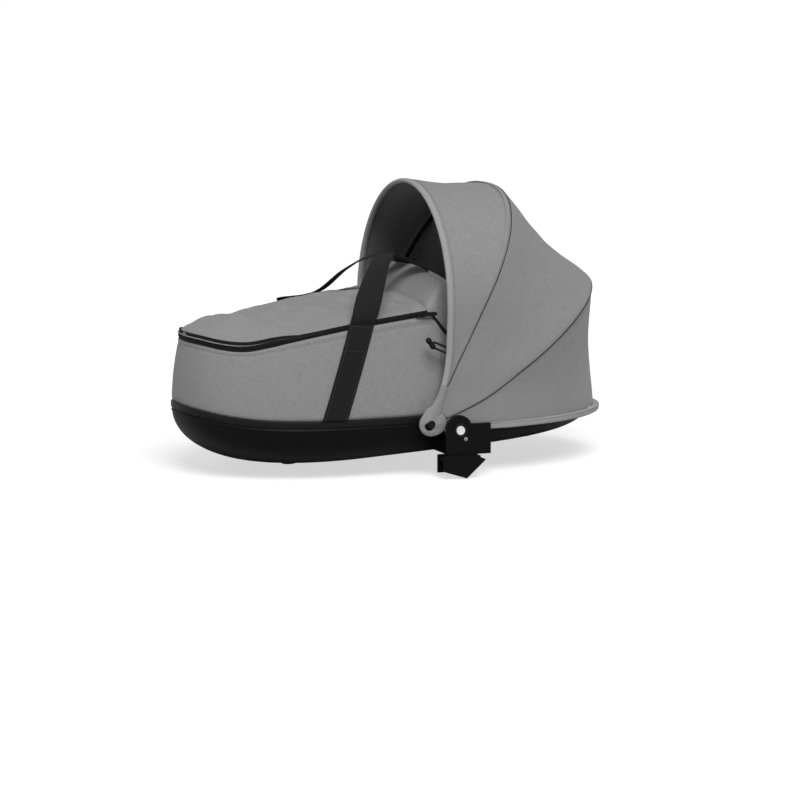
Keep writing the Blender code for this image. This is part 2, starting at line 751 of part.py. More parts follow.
def flap_edges():
    """Foot and top points of the flap, from its right wing's free edge to the left one's."""
    foot_x = ZIP_END_X + STRAP_SPLIT_GAP
    rise = hoop_centre()[1] + HOOP_RADIUS + RUNNING_GAP
    middle = []
    for j in range(FLAP_COLUMNS + 1):
        across = -1 + 2 * j / FLAP_COLUMNS
        foot_z = rim_height(ZIP_END_X) + rise + APRON_CROWN * (1 - across**2)
        reach = FLAP_TOP_HALF_WIDTH - FLAP_CORNER_SPACING * len(FLAP_WING_SHARES)
        top_z = FLAP_TOP_CORNER_Z + FLAP_TOP_CROWN * (1 - (across * reach / FLAP_TOP_HALF_WIDTH) ** 2)
        foot = Vector((foot_x, across * FLAP_FOOT_HALF_WIDTH, foot_z))
        middle.append((foot, Vector((FLAP_TOP_X, across * reach, top_z))))
    wings = []
    for side in (-1, 1):
        wing = []
        for k, share in enumerate(FLAP_WING_SHARES):
            x = foot_x + (FLAP_WING_END_X - foot_x) * share
            across = FLAP_TOP_HALF_WIDTH - FLAP_CORNER_SPACING * (len(FLAP_WING_SHARES) - 1 - k)
            top_z = FLAP_TOP_CORNER_Z + FLAP_TOP_CROWN * (1 - (across / FLAP_TOP_HALF_WIDTH) ** 2)
            foot = Vector((x, side * FLAP_FOOT_HALF_WIDTH, rim_height(x) + rise))
            wing.append((foot, Vector((FLAP_TOP_X, side * across, top_z))))
        wings.append(wing)
    return wings[0][::-1] + middle + wings[1]


def wind_flap():
    """The flap that stands up from the apron's head edge; its wings run down inside the wall's dropped edge."""
    edges = flap_edges()
    last = len(edges) - 1
    rows = []
    for k in range(FLAP_ROWS + 1):
        up = k / FLAP_ROWS
        rows.append([foot.lerp(top, up) for foot, top in edges])
    sections = []
    for j in range(last + 1):
        front = []
        back = []
        for k in range(FLAP_ROWS + 1):
            along = rows[k][min(j + 1, last)] - rows[k][max(j - 1, 0)]
            upward = rows[min(k + 1, FLAP_ROWS)][j] - rows[max(k - 1, 0)][j]
            normal = along.cross(upward).normalized()
            point = rows[k][j] - normal * FLAP_CURL * math.sin(math.pi * k / FLAP_ROWS)
            front.append(point)
            back.append(point + normal * FLAP_THICKNESS)
        sections.append(front + back[::-1])
    flap = loft("wind_flap", sections, shell=True)
    return finish_part(flap, "grey_fabric", (ZIP_END_X, 0, rim_height(ZIP_END_X)))


def bow_half_width(bow):
    """Distance of a bow's leg off the middle plane: the three bows are stacked along the hub pin."""
    first = WAIST_HALF_WIDTH + BAND_PROUD + RUNNING_GAP + HUB_PLATE_THICKNESS + RUNNING_GAP + BOW_THICKNESS / 2
    return first + bow["layer"] * (BOW_THICKNESS + BOW_STACK_GAP)


def bow_shares():
    """Places along a bow from the near hub (-1) over the top (0) to the far hub (1)."""
    half = [LEG_LENGTH_SHARE * k / BOW_LEG_STEPS for k in range(BOW_LEG_STEPS)]
    half += [LEG_LENGTH_SHARE + (1 - LEG_LENGTH_SHARE) * k / BOW_ARC_STEPS for k in range(BOW_ARC_STEPS + 1)]
    near = [share - 1 for share in half]
    return near + [-share for share in reversed(near[:-1])]


def bow_point(bow, share, grow=0.0, widen=0.0):
    """A bow's centre line: straight legs, a superelliptic arch, and a bend near the hub pin."""
    up = 1 - abs(share)
    side = -1 if share < 0 else 1
    half_width = bow_half_width(bow) + grow + widen
    if up < LEG_LENGTH_SHARE:
        out = bow["leg"] * up / LEG_LENGTH_SHARE
        across = half_width
    else:
        turn = math.pi / 2 * (up - LEG_LENGTH_SHARE) / (1 - LEG_LENGTH_SHARE)
        rise, across = end_curve(turn, bow["reach"] + grow - bow["leg"], half_width, bow["squareness"])
        out = bow["leg"] + rise
    angle = math.radians(bow["angle_deg"])
    fade = max(0.0, 1 - out / bow["bend_length"]) ** 2
    x = bow["root_x"] + out * math.cos(angle) + (HUB_X - bow["root_x"]) * fade
    z = bow["root_z"] + out * math.sin(angle) + (HUB_Z - bow["root_z"]) * fade
    return Vector((x, side * across, z))


def bow_outward(bow, share):
    """Outward direction of the canopy's skin at a bow, and the direction along the skin across the bow."""
    step = 0.004
    before = bow_point(bow, max(share - step, -1))
    after = bow_point(bow, min(share + step, 1))
    along = (after - before).normalized()
    angle = math.radians(bow["angle_deg"])
    plane = Vector((-math.sin(angle), 0, math.cos(angle)))
    outward = plane.cross(along).normalized()
    if outward.dot(Vector((0, math.copysign(1, share), 0)) + Vector((math.cos(angle), 0, math.sin(angle)))) < 0:
        outward.negate()
    return outward, outward.cross(along).normalized()


def canopy_bow(name, bow):
    """A sprung plastic bow of oval section with an eye at each end."""
    sections = []
    wide, thick = BOW_WIDTH / 2, BOW_THICKNESS / 2
    profile = (
        (wide, thick / 4), (wide / 2, thick), (-wide / 2, thick), (-wide, thick / 4),
        (-wide, -thick / 4), (-wide / 2, -thick), (wide / 2, -thick), (wide, -thick / 4),
    )
    for share in bow_shares():
        centre = bow_point(bow, share)
        outward, across = bow_outward(bow, share)
        sections.append([centre + across * a + outward * b for a, b in profile])
    part = loft(name, sections)
    middle = bow_half_width(bow)
    for side_name, side in SIDES:
        eye = cylinder("eye", EYE_RADIUS, middle - thick, middle + thick, side, HUB_X, HUB_Z, EYE_SIDES)
        boolean(part, "UNION", eye)
    for side_name, side in SIDES:
        radius = PIN_RADIUS + PIN_BORE_CLEARANCE
        bore = cylinder(
            "bore", radius, middle - thick - CUT_OVERRUN, middle + thick + CUT_OVERRUN, side, HUB_X, HUB_Z, EYE_SIDES
        )
        boolean(part, "DIFFERENCE", bore)
    return finish_part(part, "bow_plastic", (HUB_X, 0, HUB_Z))


def cloth_shares():
    """Places along the bows where the canopy's cloth has a section, from under one boot to under the other."""
    end = 1 - CANOPY_START_SHARE
    return [-end] + [share for share in bow_shares() if abs(share) < end - CANOPY_START_SHARE / 2] + [end]


def stack_widening(bow):
    """How far the cloth stands off a bow sideways, so that it runs flat past all three stacked bows."""
    return bow_half_width(FRONT_BOW) - bow_half_width(bow)


def hem_place(share, half_width, reach):
    """A point of the hem line in plan: along the side from the hub, then round the head end."""
    up = 1 - abs(share)
    side = -1 if share < 0 else 1
    if up < LEG_LENGTH_SHARE:
        x = HEM_START_X + (HEAD_CENTRE_X - HEM_START_X) * up / LEG_LENGTH_SHARE
        return Vector((x, side * half_width, 0))
    turn = math.pi / 2 * (up - LEG_LENGTH_SHARE) / (1 - LEG_LENGTH_SHARE)
    out, across = end_curve(turn, reach, half_width, HEAD_SQUARENESS)
    return Vector((HEAD_CENTRE_X + out, side * across, 0))


def cloth_inner():
    """Distance of the canopy cloth's inner face off the middle plane, beside the hub."""
    return bow_half_width(FRONT_BOW) + BOW_THICKNESS / 2 + CANOPY_CLEARANCE


def cloth_panel(name, start_edge, end_edge, depth):
    """A panel of cloth, ruled between two edges that are functions of the share and the outset, with a slight sag."""
    sections = []
    for share in cloth_shares():
        outer = []
        inner = []
        for column in CANOPY_COLUMN_SHARES:
            t = SEAM_GAP_SHARE + (1 - 2 * SEAM_GAP_SHARE) * column
            sag = depth * (4 * column * (1 - column)) ** 2 * (1 - abs(share)) ** 2
            if column in (CANOPY_COLUMN_SHARES[1], CANOPY_COLUMN_SHARES[-2]):
                sag = -BOW_RIDGE
            for row, outset in ((outer, CANOPY_CLOTH), (inner, 0)):
                start = start_edge(share, outset - sag)
                end = end_edge(share, outset - sag)
                row.append(start.lerp(end, t))
        sections.append(outer + inner[::-1])
    panel = loft(name, sections, shell=True)
    return finish_part(panel, "grey_fabric", (HUB_X, 0, HUB_Z))


def edge_over(bow):
    """The cloth edge over one bow, as a function of the share and the outset."""
    cover = BOW_THICKNESS / 2 + CANOPY_CLEARANCE
    return lambda share, outset: bow_point(bow, share, cover + outset, stack_widening(bow))


def hem_edge(share, outset):
    """The cloth edge along the hem's top."""
    reach = WAIST_HEAD_REACH + BAND_PROUD + RUNNING_GAP
    point = hem_place(share, cloth_inner() + outset, reach + outset)
    point.z = HEM_TOP_Z + RUNNING_GAP
    return point


def canopy():
    """Three bows, the three cloth panels over them and the hem."""
    canopy_bow("canopy_front_bow", FRONT_BOW)
    canopy_bow("canopy_mid_bow", MID_BOW)
    canopy_bow("canopy_rear_bow", REAR_BOW)
    cloth_panel("canopy_visor_panel", edge_over(FRONT_BOW), edge_over(MID_BOW), VISOR_SAG)
    cloth_panel("canopy_top_panel", edge_over(MID_BOW), edge_over(REAR_BOW), TOP_SAG)
    cloth_panel("canopy_rear_panel", edge_over(REAR_BOW), hem_edge, REAR_SAG)
    seat = WAIST_HEAD_REACH + BAND_PROUD + RUNNING_GAP
    outer = (cloth_outer(), seat + CANOPY_CLOTH + HEM_PROUD)
    inner = (cloth_outer() - HEM_THICKNESS, seat)
    low = HEM_TOP_Z - HEM_HEIGHT
    sections = []
    for share in bow_shares():
        corners = []
        for (half_width, reach), z in ((outer, HEM_TOP_Z), (outer, low), (inner, low), (inner, HEM_TOP_Z)):
            place = hem_place(share, half_width, reach)
            corners.append((place.x, place.y, z))
        sections.append(corners)
    finish_part(loft("canopy_hem", sections), "grey_fabric")


def cloth_outer():
    """Distance of the canopy cloth's outer face off the middle plane, beside the hub."""
    return cloth_inner() + CANOPY_CLOTH


def canopy_hubs():
    """On each side a plate on the waist band, the pin through the three eyes and the cloth boot over them."""
    plate_low = WAIST_HALF_WIDTH + BAND_PROUD + RUNNING_GAP
    plate_high = plate_low + HUB_PLATE_THICKNESS
    boot_low = cloth_outer() + RUNNING_GAP
    boot_high = boot_low + BOOT_THICKNESS
    for side_name, side in SIDES:
        plate = cylinder(
            f"canopy_hub_plate_{side_name}", HUB_PLATE_RADIUS, plate_low, plate_high, side, HUB_X, HUB_Z, EYE_SIDES
        )
        finish_part(plate, "black_moulding")
        head_low = boot_high + RUNNING_GAP
        pin = cylinder(
            f"canopy_pin_{side_name}", PIN_RADIUS, plate_high + RUNNING_GAP, head_low + PIN_HEAD_HEIGHT / 2,
            side, HUB_X, HUB_Z, EYE_SIDES,
        )
        head = cylinder(
            "head", PIN_HEAD_RADIUS, head_low, head_low + PIN_HEAD_HEIGHT, side, HUB_X, HUB_Z, EYE_SIDES
        )
        boolean(pin, "UNION", head)
        bevel(finish_part(pin, "black_moulding"), EDGE_BEVEL)
        boot = cylinder(f"canopy_boot_{side_name}", BOOT_RADIUS, boot_low, boot_high, side, HUB_X, HUB_Z, BOOT_SIDES)
        bore = cylinder(
            "bore", PIN_RADIUS + PIN_BORE_CLEARANCE, boot_low - CUT_OVERRUN, boot_high + CUT_OVERRUN,
            side, HUB_X, HUB_Z, EYE_SIDES,
        )
        boolean(boot, "DIFFERENCE", bore)
        bevel(finish_part(boot, "grey_fabric", (HUB_X, side * (boot_low + boot_high) / 2, HUB_Z)), EDGE_BEVEL)


def tray_cutter():
    """The tray's outside, grown by the running gap: what stands against the tray is cut by it."""
    rings = [base_ring(share, -RUNNING_GAP, -RUNNING_GAP) for share in reversed(BASE_DEPTH_SHARES)]
    return cutter(loft("tray_cutter", rings))


def slot_half_width():
    """Half width of the tongue that slides in the dock's slot."""
    return SLOT_HALF_WIDTH - TONGUE_SIDE_GAP


def docks():
    """On each side a bracket under the hem: a shelf against the tray and an outer plate with a slot open below."""
    tool = tray_cutter()
    plate_high = DOCK_PLATE_INNER + DOCK_PLATE_THICKNESS
    for side_name, side in SIDES:
        dock = side_block(
            f"dock_{side_name}", side, DOCK_LEFT_X, DOCK_RIGHT_X, DOCK_PLATE_INNER, plate_high,
            DOCK_BOTTOM_Z, DOCK_TOP_Z,
        )
        shelf = side_block(
            "shelf", side, DOCK_LEFT_X + EDGE_BEVEL, DOCK_RIGHT_X - EDGE_BEVEL, DOCK_SHELF_REACH,
            DOCK_PLATE_INNER + EDGE_BEVEL, DOCK_BOTTOM_Z + EDGE_BEVEL, DOCK_SHELF_TOP_Z,
        )
        boolean(dock, "UNION", shelf)
        slot = side_block(
            "slot", side, EAR_CENTRE_X - SLOT_HALF_WIDTH, EAR_CENTRE_X + SLOT_HALF_WIDTH,
            plate_high - SLOT_DEPTH, plate_high + CUT_OVERRUN, DOCK_BOTTOM_Z - CUT_OVERRUN, SLOT_TOP_Z,
        )
        boolean(dock, "DIFFERENCE", slot)
        boolean(dock, "DIFFERENCE", tool, keep_tool=True)
        finish_part(dock, "black_moulding")


def ear_outline():
    """Outline of the adaptor's ear: a round top and sides that flare to its foot."""
    outline = []
    for k in range(EAR_ARC_STEPS + 1):
        turn = math.pi * k / EAR_ARC_STEPS
        outline.append((EAR_CENTRE_X + EAR_RADIUS * math.cos(turn), EAR_CENTRE_Z + EAR_RADIUS * math.sin(turn)))
    outline.append((EAR_CENTRE_X - EAR_RADIUS - EAR_LEFT_FLARE, EAR_BOTTOM_Z))
    outline.append((EAR_CENTRE_X + EAR_RADIUS + EAR_RIGHT_FLARE, EAR_BOTTOM_Z))
    return outline


def adaptors():
    """On each side an ear with its tongue, a saddle shoe under it, a sprung release button and a lamp."""
    plate_high = DOCK_PLATE_INNER + DOCK_PLATE_THICKNESS
    ear_low = plate_high + RUNNING_GAP
    ear_high = ear_low + EAR_THICKNESS
    ledge = ear_high - BUTTON_GUIDE_DEPTH
    half = slot_half_width()
    for side_name, side in SIDES:
        ear = side_plate(f"adaptor_ear_{side_name}", side, ear_outline(), ear_low, ear_high)
        tongue = side_block(
            "tongue", side, EAR_CENTRE_X - half, EAR_CENTRE_X + half, ear_low - TONGUE_THICKNESS,
            ear_low + EAR_THICKNESS / 2, EAR_BOTTOM_Z, SLOT_TOP_Z - TONGUE_SIDE_GAP,
        )
        boolean(ear, "UNION", tongue)
        guide = cylinder(
            "guide", BUTTON_RADIUS + RUNNING_GAP, ear_low, ear_high + CUT_OVERRUN, side, BUTTON_X, BUTTON_Z, BUTTON_SIDES
        )
        pocket = cylinder(
            "pocket", BUTTON_FLANGE_RADIUS + RUNNING_GAP, ear_low - CUT_OVERRUN, ledge, side, BUTTON_X, BUTTON_Z,
            BUTTON_SIDES,
        )
        lamp_hole = cylinder(
            "lamp_hole", LAMP_RADIUS + RUNNING_GAP, ear_high - LAMP_DEPTH, ear_high + CUT_OVERRUN, side,
            LAMP_X, LAMP_Z, EYE_SIDES,
        )
        for tool in (guide, pocket, lamp_hole):
            boolean(ear, "DIFFERENCE", tool)
        finish_part(ear, "black_moulding")
        lamp = cylinder(
            f"adaptor_lamp_{side_name}", LAMP_RADIUS, ear_high - LAMP_DEPTH + RUNNING_GAP, ear_high + LAMP_PROUD,
            side, LAMP_X, LAMP_Z, EYE_SIDES,
        )
        finish_part(lamp, "grey_lamp")
        flange_high = ledge - RUNNING_GAP
        flange_low = flange_high - BUTTON_FLANGE_THICKNESS
        button = cylinder(
            f"release_button_{side_name}", BUTTON_RADIUS, flange_low, ear_high + BUTTON_PROUD, side,
            BUTTON_X, BUTTON_Z, BUTTON_SIDES,
        )
        flange = cylinder(
            "flange", BUTTON_FLANGE_RADIUS, flange_low, flange_high, side, BUTTON_X, BUTTON_Z, BUTTON_SIDES
        )
        boolean(button, "UNION", flange)
        finish_part(button, "white_button", (BUTTON_X, side * (flange_low + flange_high) / 2, BUTTON_Z))
        button_spring(side_name, side, plate_high, flange_low)
        shoe(side_name, side)


def button_spring(side_name, side, low, high):
    """The short coil between the dock's plate and the button's flange."""
    start = low + RUNNING_GAP + SPRING_WIRE_RADIUS
    end = high - RUNNING_GAP - SPRING_WIRE_RADIUS
    count = SPRING_TURNS * SPRING_POINTS_PER_TURN
    curve = bpy.data.curves.new(f"button_spring_{side_name}", "CURVE")
    curve.dimensions = "3D"
    curve.bevel_depth = SPRING_WIRE_RADIUS
    curve.bevel_resolution = 1
    curve.use_fill_caps = True
    line = curve.splines.new("POLY")
    line.points.add(count)
    for k in range(count + 1):
        turn = 2 * math.pi * k / SPRING_POINTS_PER_TURN
        x = BUTTON_X + SPRING_RADIUS * math.cos(turn)
        z = BUTTON_Z + SPRING_RADIUS * math.sin(turn)
        line.points[k].co = (x, side * (start + (end - start) * k / count), z, 1)
    gap = (end - start) / SPRING_TURNS - 2 * SPRING_WIRE_RADIUS
    print(f"button spring {side_name}: least gap between turns {gap * 1000:.2f} mm")
    guide = bpy.data.objects.new("spring_guide", curve)
    PARTS.objects.link(guide)
    finish_part(mesh_of(guide, f"button_spring_{side_name}"), "steel")


def mesh_of(guide, name):
    """A welded mesh of a curve's tube; the curve is removed."""
    bpy.context.view_layer.update()
    graph = bpy.context.evaluated_depsgraph_get()
    data = bpy.data.meshes.new_from_object(guide.evaluated_get(graph))
    data.transform(guide.matrix_world)
    welded = bmesh.new()
    welded.from_mesh(data)
    bmesh.ops.remove_doubles(welded, verts=welded.verts, dist=SPRING_WIRE_RADIUS / 50)
    bmesh.ops.recalc_face_normals(welded, faces=welded.faces)
    welded.to_mesh(data)
    welded.free()
    made = bpy.data.objects.new(name, data)
    data.name = name
    PARTS.objects.link(made)
    bpy.data.objects.remove(guide, do_unlink=True)
    return made


def shoe(side_name, side):
    """The saddle under the ear: an outer cheek, a web that carries the load and a shorter inner cheek."""
    ear_high = DOCK_PLATE_INNER + DOCK_PLATE_THICKNESS + RUNNING_GAP + EAR_THICKNESS
    outer_low = ear_high + SHOE_EAR_GAP
    shoe_outer = outer_low + SHOE_CHEEK
    inner_low = shoe_outer - SHOE_WIDTH
    web_low_z = SHOE_TOP_Z - SHOE_WEB
    part = side_plate(f"adaptor_shoe_{side_name}", side, SHOE_OUTLINE, outer_low, shoe_outer)
    margin = SHOE_CHEEK / 2
    web = side_block(
        "web", side, -SADDLE_HALF_LENGTH, SADDLE_HALF_LENGTH, inner_low, outer_low + margin, web_low_z,
        SHOE_TOP_Z - RUNNING_GAP,
    )
    boolean(part, "UNION", web)
    inner = side_block(
        "inner_cheek", side, -SADDLE_HALF_LENGTH, SADDLE_HALF_LENGTH, inner_low, inner_low + SHOE_CHEEK,
        web_low_z - SHOE_INNER_DEPTH, web_low_z + margin,
    )
    boolean(part, "UNION", inner)
    finish_part(part, "black_moulding")


def handle_line(x):
    """Height of the straight line through both leg tops of a handle, along which its loop turns."""
    foot, head = rim_height(STRAP_FOOT_RIM_X), rim_height(STRAP_HEAD_RIM_X)
    return foot + (head - foot) * (x - STRAP_FOOT_RIM_X) / (STRAP_HEAD_RIM_X - STRAP_FOOT_RIM_X)


def strap_wall_point(x, level, offset):
    """A point on the wall's outside, at a level between the waist and the handle's turning line."""
    puff = WALL_PUFF * 4 * level * (1 - level)
    foot = WAIST_FOOT_REACH + (RIM_FOOT_REACH - WAIST_FOOT_REACH) * level + puff + offset
    half = WAIST_HALF_WIDTH + (RIM_HALF_WIDTH - WAIST_HALF_WIDTH) * level + puff + offset
    head = WAIST_HEAD_REACH + (RIM_HEAD_REACH - WAIST_HEAD_REACH) * level + puff + offset
    z = waist_height(x) + (handle_line(x) - waist_height(x)) * level
    return Vector((x, rounded_half_width(x, foot, half, head), z))


def strap_legs():
    """The webbing's four sewn legs, which lie up the outside of the wall."""
    for side_name, side in SIDES:
        for end, base_x, rim_x in (
            ("foot", STRAP_FOOT_BASE_X, STRAP_FOOT_RIM_X), ("head", STRAP_HEAD_BASE_X, STRAP_HEAD_RIM_X)
        ):
            sections = []
            for k in range(STRAP_LEG_STEPS + 1):
                level = k / STRAP_LEG_STEPS
                x = base_x + (rim_x - base_x) * level
                row = []
                for outset in (0, STRAP_THICKNESS):
                    for reach in (-STRAP_WIDTH / 2, STRAP_WIDTH / 2):
                        point = strap_wall_point(x + reach, level, STRAP_STANDOFF + outset)
                        row.append(Vector((point.x, side * point.y, point.z)))
                sections.append([row[0], row[1], row[3], row[2]])
            finish_part(loft(f"strap_leg_{end}_{side_name}", sections), "black_webbing")


def leg_top(rim_x, outward_lift):
    """The two inner and two outer corners of a leg's top edge, lifted clear of the leg by the seam's gap."""
    corners = []
    for outset, reach in ((0, -1), (0, 1), (STRAP_THICKNESS, 1), (STRAP_THICKNESS, -1)):
        corners.append(strap_wall_point(rim_x + reach * STRAP_WIDTH / 2, 1, STRAP_STANDOFF + outset))
    return [corner + Vector((0, 0, outward_lift)) for corner in corners]


def loop_path():
    """Middle line of a handle loop, on the left side: up past the rim, over the middle and down to the rim."""
    keys = []
    for rim_x in (STRAP_FOOT_RIM_X, STRAP_HEAD_RIM_X):
        foot = strap_wall_point(rim_x, 1, STRAP_STANDOFF + STRAP_THICKNESS / 2) + Vector((0, 0, STRAP_SPLIT_GAP))
        keys.append([foot, foot + Vector((0, 0, STRAP_CLEAR_RISE))])
    keys = keys[0] + [Vector(point) for point in STRAP_PATH] + keys[1][::-1]
    points = []
    for k in range(len(keys) - 1):
        before, start, end, after = keys[max(k - 1, 0)], keys[k], keys[k + 1], keys[min(k + 2, len(keys) - 1)]
        for j in range(STRAP_STEPS_PER_SPAN):
            t = j / STRAP_STEPS_PER_SPAN
            points.append(
                (start * 2 + (end - before) * t + (before * 2 - start * 5 + end * 4 - after) * t**2
                 + (start * 3 - before - end * 3 + after) * t**3) / 2
            )
    return points + [keys[-1]]


def loop_width_direction(t, along):
    """Width direction of the loop's webbing: along the body at both legs, across it over the top."""
    start, top, finish = Vector((1, 0, 0)), Vector(LOOP_TOP_SHARES), Vector((-1, 0, 0))
    wish = start.lerp(top, smooth_step(2 * t)) if t < 0.5 else top.lerp(finish, smooth_step(2 * t - 1))
    return (wish - along * wish.dot(along)).normalized()


def split_faces(part):
    """Splits every face into triangles, so that a twisted strap has one definite surface."""
    mesh = bmesh.new()
    mesh.from_mesh(part.data)
    bmesh.ops.triangulate(mesh, faces=mesh.faces)
    mesh.to_mesh(part.data)
    mesh.free()


def strap_loops():
    """The two free loops: flat on the wall at the rim, turned on edge over the top, where a hand takes them."""
    path = loop_path()
    last = len(path) - 1
    for side_name, side in SIDES:
        sections = []
        for k, centre in enumerate(path):
            along = (path[min(k + 1, last)] - path[max(k - 1, 0)]).normalized()
            across = loop_width_direction(k / last, along) * STRAP_WIDTH / 2
            thick = along.cross(across).normalized() * STRAP_THICKNESS / 2
            sections.append([
                centre - across - thick, centre + across - thick, centre + across + thick, centre - across + thick
            ])
        sections[0] = leg_top(STRAP_FOOT_RIM_X, STRAP_SPLIT_GAP)
        head_top = leg_top(STRAP_HEAD_RIM_X, STRAP_SPLIT_GAP)
        sections[-1] = [head_top[1], head_top[0], head_top[3], head_top[2]]
        sided = [[(point.x, side * point.y, point.z) for point in section] for section in sections]
        strap = loft(f"handle_loop_{side_name}", sided)
        split_faces(strap)
        finish_part(strap, "black_webbing", sided[0][3])


def zip_sliders():
    """On each side a slider on the zip's outside and a pull tab hooked on its pin."""
    face = RIM_HALF_WIDTH + TRIM_PROUD + RUNNING_GAP
    z = rim_height(SLIDER_X)
    slope = (rim_height(SLIDER_X + SLIDER_LENGTH / 2) - rim_height(SLIDER_X - SLIDER_LENGTH / 2)) / SLIDER_LENGTH
    for side_name, side in SIDES:
        outline = []
        for dx, dz in (
            (-SLIDER_LENGTH / 2, -SLIDER_HEIGHT / 3), (SLIDER_LENGTH / 2, -SLIDER_HEIGHT / 2),
            (SLIDER_LENGTH / 2, SLIDER_HEIGHT / 2), (-SLIDER_LENGTH / 2, SLIDER_HEIGHT / 3),
        ):
            outline.append((SLIDER_X + dx, z + dz + slope * dx))
        slider = side_plate(f"zip_slider_{side_name}", side, outline, face, face + SLIDER_THICKNESS)
        pin_x = SLIDER_X + SLIDER_LENGTH / 4
        pin_z = z + slope * SLIDER_LENGTH / 4
        pin = cylinder(
            "pin", PULL_PIN_RADIUS, face + SLIDER_THICKNESS / 2, face + SLIDER_THICKNESS + PULL_PIN_LENGTH, side,
            pin_x, pin_z, PULL_SIDES,
        )
        boolean(slider, "UNION", pin)
        finish_part(slider, "black_trim", (SLIDER_X, side * face, z))
        low = face + SLIDER_THICKNESS + RUNNING_GAP
        tab_outline = []
        for k in range(PULL_SIDES // 2 + 1):
            turn = -math.pi / 2 + math.pi * k / (PULL_SIDES // 2)
            tab_outline.append((
                pin_x + PULL_LENGTH + PULL_WIDTH / 2 * math.cos(turn), pin_z + PULL_WIDTH / 2 * math.sin(turn)
            ))
        tab_outline.append((pin_x - PULL_WIDTH / 2, pin_z + PULL_WIDTH / 2))
        tab_outline.append((pin_x - PULL_WIDTH / 2, pin_z - PULL_WIDTH / 2))
        pull = side_plate(f"zip_pull_{side_name}", side, tab_outline, low, low + PULL_THICKNESS)
        hole = cylinder(
            "hole", PULL_HOLE_RADIUS, low - CUT_OVERRUN, low + PULL_THICKNESS + CUT_OVERRUN, side, pin_x, pin_z,
            PULL_SIDES,
        )
        boolean(pull, "DIFFERENCE", hole)
        finish_part(pull, "black_trim", (pin_x, side * (low + PULL_THICKNESS / 2), pin_z))


def toggle_loop_points():
    """Middle line of the elastic in X and Z: from the front bow round the toggle's waist and back."""
    drop = math.radians(TOGGLE_LOOP_DROP_DEG)
    half = TOGGLE_LOOP_SPREAD / 2
    start = (TOGGLE_RADIUS + RUNNING_GAP + TOGGLE_LOOP_RADIUS + half) / math.cos(drop + math.radians(TOGGLE_TILT_DEG))
    turns = [math.pi * (3 - k / 3) / 2 for k in range(7)]
    places = [(start + half * math.cos(turn), half * math.sin(turn)) for turn in turns]
    points = [
        (TOGGLE_X + a * math.cos(drop) + b * math.sin(drop), TOGGLE_Z - a * math.sin(drop) + b * math.cos(drop))
        for a, b in places
    ]
    ends = []
    for x, z in (points[0], points[-1]):
        reach = 0.0
        standoff = BOW_WIDTH / 2 + RUNNING_GAP + TOGGLE_LOOP_RADIUS
        while x + reach * math.cos(drop) < bow_front_x(z - reach * math.sin(drop)) - standoff:
            reach += RUNNING_GAP
        ends.append((x + reach * math.cos(drop), z - reach * math.sin(drop)))
    return [ends[0]] + points + [ends[1]]


def toggles():
    """On each side of the front bow an elastic loop that ends in a small toggle."""
    points = toggle_loop_points()
    for side_name, side in SIDES:
        curve = bpy.data.curves.new(f"toggle_loop_{side_name}", "CURVE")
        curve.dimensions = "3D"
        curve.bevel_depth = TOGGLE_LOOP_RADIUS
        curve.bevel_resolution = 1
        curve.use_fill_caps = True
        line = curve.splines.new("POLY")
        line.points.add(len(points) - 1)
        for k, (x, z) in enumerate(points):
            line.points[k].co = (x, side * TOGGLE_Y, z, 1)
        guide = bpy.data.objects.new("loop_guide", curve)
        PARTS.objects.link(guide)
        finish_part(mesh_of(guide, f"toggle_loop_{side_name}"), "black_trim")
        bpy.ops.mesh.primitive_cylinder_add(radius=TOGGLE_RADIUS, depth=TOGGLE_LENGTH, vertices=TOGGLE_SIDES)
        bar = bpy.context.object
        bar.name = f"toggle_{side_name}"
        bevel(finish_part(bar, "black_trim"), EDGE_BEVEL)
        bar.rotation_euler = (0, -math.radians(TOGGLE_TILT_DEG), 0)
        bar.location = (TOGGLE_X, side * TOGGLE_Y, TOGGLE_Z)


def bow_front_x(height):
    """Place of the front bow's leg at a height."""
    share = -1.0
    while bow_point(FRONT_BOW, share).z < height and share < 0:
        share += 0.002
    return bow_point(FRONT_BOW, share).x


def build():
    """Makes every sub-part."""
    base_shell()
    waist_band()
    side_wall()
    lining()
    rim_hoop()
    edge_trims()
    foot_pads()
    base_board()
    mattress()
    apron()
    wind_flap()
    canopy()
    canopy_hubs()
    docks()
    adaptors()
    strap_legs()
    strap_loops()
    zip_sliders()
    toggles()


build()
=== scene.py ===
"""Looks of a soft-sided carrycot: padded wall, zipped apron, bow canopy, webbing handles, lift-off adaptors.

Metres, +Z up, in the part's own frame: X runs from the foot end to the head end, and the origin lies midway
between the seats of the two adaptor saddles. Heights written here count from the waist, where the fabric wall
meets the moulded tray, and new_piece() lifts every finished mesh from there to the saddles' level.
"""

import json
import math

import bmesh
import bpy
import numpy as np
from bpy.props import FloatProperty, FloatVectorProperty, IntProperty, PointerProperty
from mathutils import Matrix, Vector
from mathutils.bvhtree import BVHTree

